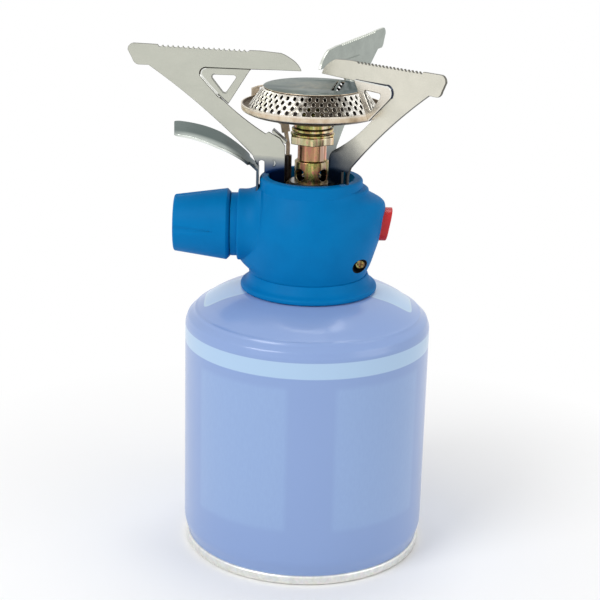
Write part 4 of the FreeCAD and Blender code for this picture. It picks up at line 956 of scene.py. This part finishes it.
def makeWashers():  # the lower one stepped down outside the spring washer
    bore, low, ledge, seat, lift, top = picked(washers, "bore low ledge seat lift top")
    lower, upper, (foot, step) = picked(washers, "lower upper step")
    shape = lathe([(bore, low), (lower, low, 0.3), (lower, ledge, 0.25), (foot, ledge), (step, seat), (bore, seat)])
    above = lathe([(bore, lift), (upper, lift, 0.25), (upper, top - washers["slant"], 0.4), (washers["crest"], top),
                   (bore, top)])
    mesh = bpy.data.meshes.new("upperWasher")
    above.to_mesh(mesh)
    above.free()
    shape.from_mesh(mesh)
    makePiece("clampWashers", shape, "stove", "zincYellow", ["clamp_washers"], 40)


crown = {"base": 28.7, "top": 21.7, "low": 201.26, "high": 210.72, "foot": 0.5, "kerb": 0.15, "columns": 45,
         "sheet": 0.6, "rows": (0.155, 0.350, 0.545, 0.740, 0.935), "border": 0.10, "holeWidth": 0.64,
         "holeHeight": 0.97, "crest": 1.3, "upright": 0.5, "crestHalf": 0.2,
         "lips": ((0.12, 0.22, 0), (0.08, 0.02, 1), (0.05, -0.20, 1))}  # width, height, painted highlight


def staggered(rows):  # every other upright edge, moved on by one from row to row
    joints = set()
    for number, row in enumerate(rows):
        for edge in {edge for face in row for edge in face.edges}:
            middle = (edge.verts[0].co + edge.verts[1].co) / 2
            upright = abs(edge.verts[0].co.z - edge.verts[1].co.z) > crown["upright"] * millimetre
            turn = round(math.atan2(middle.x, middle.y) / math.tau * 2 * crown["columns"])
            if upright and (turn + number) % 2:
                joints.add(edge)
    return list(joints)


def pressHoles(shape, bricks):
    bmesh.ops.inset_individual(shape, faces=bricks, thickness=crown["border"] * millimetre, depth=0,
                               use_even_offset=True)
    for brick in bricks:
        middle = brick.calc_center_median()
        turn = Matrix.Rotation(-math.atan2(middle.y, middle.x), 4, "Z") @ Matrix.Translation(-middle)
        bmesh.ops.scale(shape, vec=(1, crown["holeWidth"], crown["holeHeight"]), space=turn, verts=brick.verts)
        crests = [vert for vert in brick.verts if abs((turn @ vert.co).y) < crown["crestHalf"] * millimetre]
        bmesh.ops.scale(shape, vec=(crown["crest"], 1, crown["crest"]), space=turn, verts=crests)
    for thickness, depth, highlighted in crown["lips"]:
        lip = bmesh.ops.inset_individual(shape, faces=bricks, thickness=thickness * millimetre,
                                         depth=depth * millimetre, use_even_offset=True)["faces"]
        for face in lip:
            face.material_index = highlighted
    bmesh.ops.delete(shape, geom=bricks, context="FACES_ONLY")


def makeCrown():  # rings of bricks, each pressed out to a rim round its hole
    low, high, base, top = picked(crown, "low high base top")
    foot = base + crown["foot"]
    shape = bmesh.new()
    bmesh.ops.create_circle(shape, segments=2 * crown["columns"], radius=foot * millimetre,
                            matrix=Matrix.Translation((0, 0, low * millimetre)))
    cone = [(base + (top - base) * share, low + (high - low) * share) for share in crown["rows"] + (1.0,)]
    rows = drawn(shape, shape.edges[:], (foot, low), [(base, low + crown["kerb"])] + cone)
    joints = staggered(rows[2:6])  # the rows with holes, between the plain foot and the plain top
    bmesh.ops.dissolve_edges(shape, edges=joints, use_verts=False, use_face_split=False)
    bricks = [face for face in shape.faces if len(face.verts) >= 6]
    bmesh.ops.recalc_face_normals(shape, faces=shape.faces)
    pressHoles(shape, bricks)
    piece = makePiece("burnerCrown", shape, "stove", "crownSteel", ["burner_crown"], 180)
    for finish in ("crownRimHighlight", "insideShadeBlack", "insideShadeBlack"):
        piece.data.materials.append(finishes[finish].material)
    wall = makeSheet(piece, crown["sheet"])
    wall.material_offset = 2  # painted shade inside
    wall.material_offset_rim = 2
    rounding = piece.modifiers.new("rounding", "SUBSURF")
    rounding.levels = rounding.render_levels = 1


cap = {"height": 211.26, "flat": 21.5, "sheet": 0.5, "slotMiddle": 10.2, "slotWidth": 1.35, "bridge": 1.0,
       "slots": (-9.0, 14.5), "ramp": 2.6, "lift": 0.9, "turn": -7.0, "close": 0.01, "steps": 96,
       "rim": ((21.8, -0.08), (21.9, -0.22), (21.9, -0.32))}



def makeCap():  # flat disc with a turned-down rim and two slots, the strip between lanced up
    shape = bmesh.new()
    bmesh.ops.create_circle(shape, cap_ends=True, segments=cap["steps"], radius=cap["flat"] * millimetre,
                            matrix=Matrix.Translation((0, 0, cap["height"] * millimetre)))
    strip, width = 0.5 * cap["bridge"], cap["slotWidth"]
    slots = [cap["slotMiddle"] + offset for offset in (-strip - width, -strip, strip, strip + width)]
    front, back = cap["slots"]
    ends = [front, front + cap["ramp"], back - cap["ramp"], back]
    cuts = [((place, 0, 0), (1, 0, 0)) for place in slots] + [((0, place, 0), (0, 1, 0)) for place in ends]
    for place, normal in cuts:
        bmesh.ops.bisect_plane(shape, geom=shape.verts[:] + shape.edges[:] + shape.faces[:], dist=0.000001,
                               plane_co=Vector(place) * millimetre, plane_no=normal)
    edges = [edge for edge in shape.edges if edge.is_boundary]

    def inSlot(face):
        middle = face.calc_center_median() / millimetre
        return front < middle.y < back and (slots[0] < middle.x < slots[1] or slots[2] < middle.x < slots[3])

    def isRaised(vert):
        across, along = vert.co.x / millimetre, vert.co.y / millimetre
        return (abs(across - cap["slotMiddle"]) < strip + cap["close"]
                and min(abs(along - end) for end in ends[1:3]) < cap["close"])

    bmesh.ops.delete(shape, geom=[face for face in shape.faces if inSlot(face)], context="FACES")
    raised = [vert for vert in shape.verts if isRaised(vert)]
    bmesh.ops.translate(shape, vec=(0, 0, cap["lift"] * millimetre), verts=raised)
    turned(shape, cap["turn"])
    drawn(shape, edges, (cap["flat"], 0), cap["rim"])
    bmesh.ops.recalc_face_normals(shape, faces=shape.faces)
    if max(shape.faces, key=lambda face: face.calc_area()).normal.z < 0:
        bmesh.ops.reverse_faces(shape, faces=shape.faces)
    piece = makePiece("burnerCap", shape, "stove", "capSteel", ["burner_cap"], 40)
    makeSheet(piece, cap["sheet"])


makeCup()
makeWashers()
makeCrown()
makeCap()
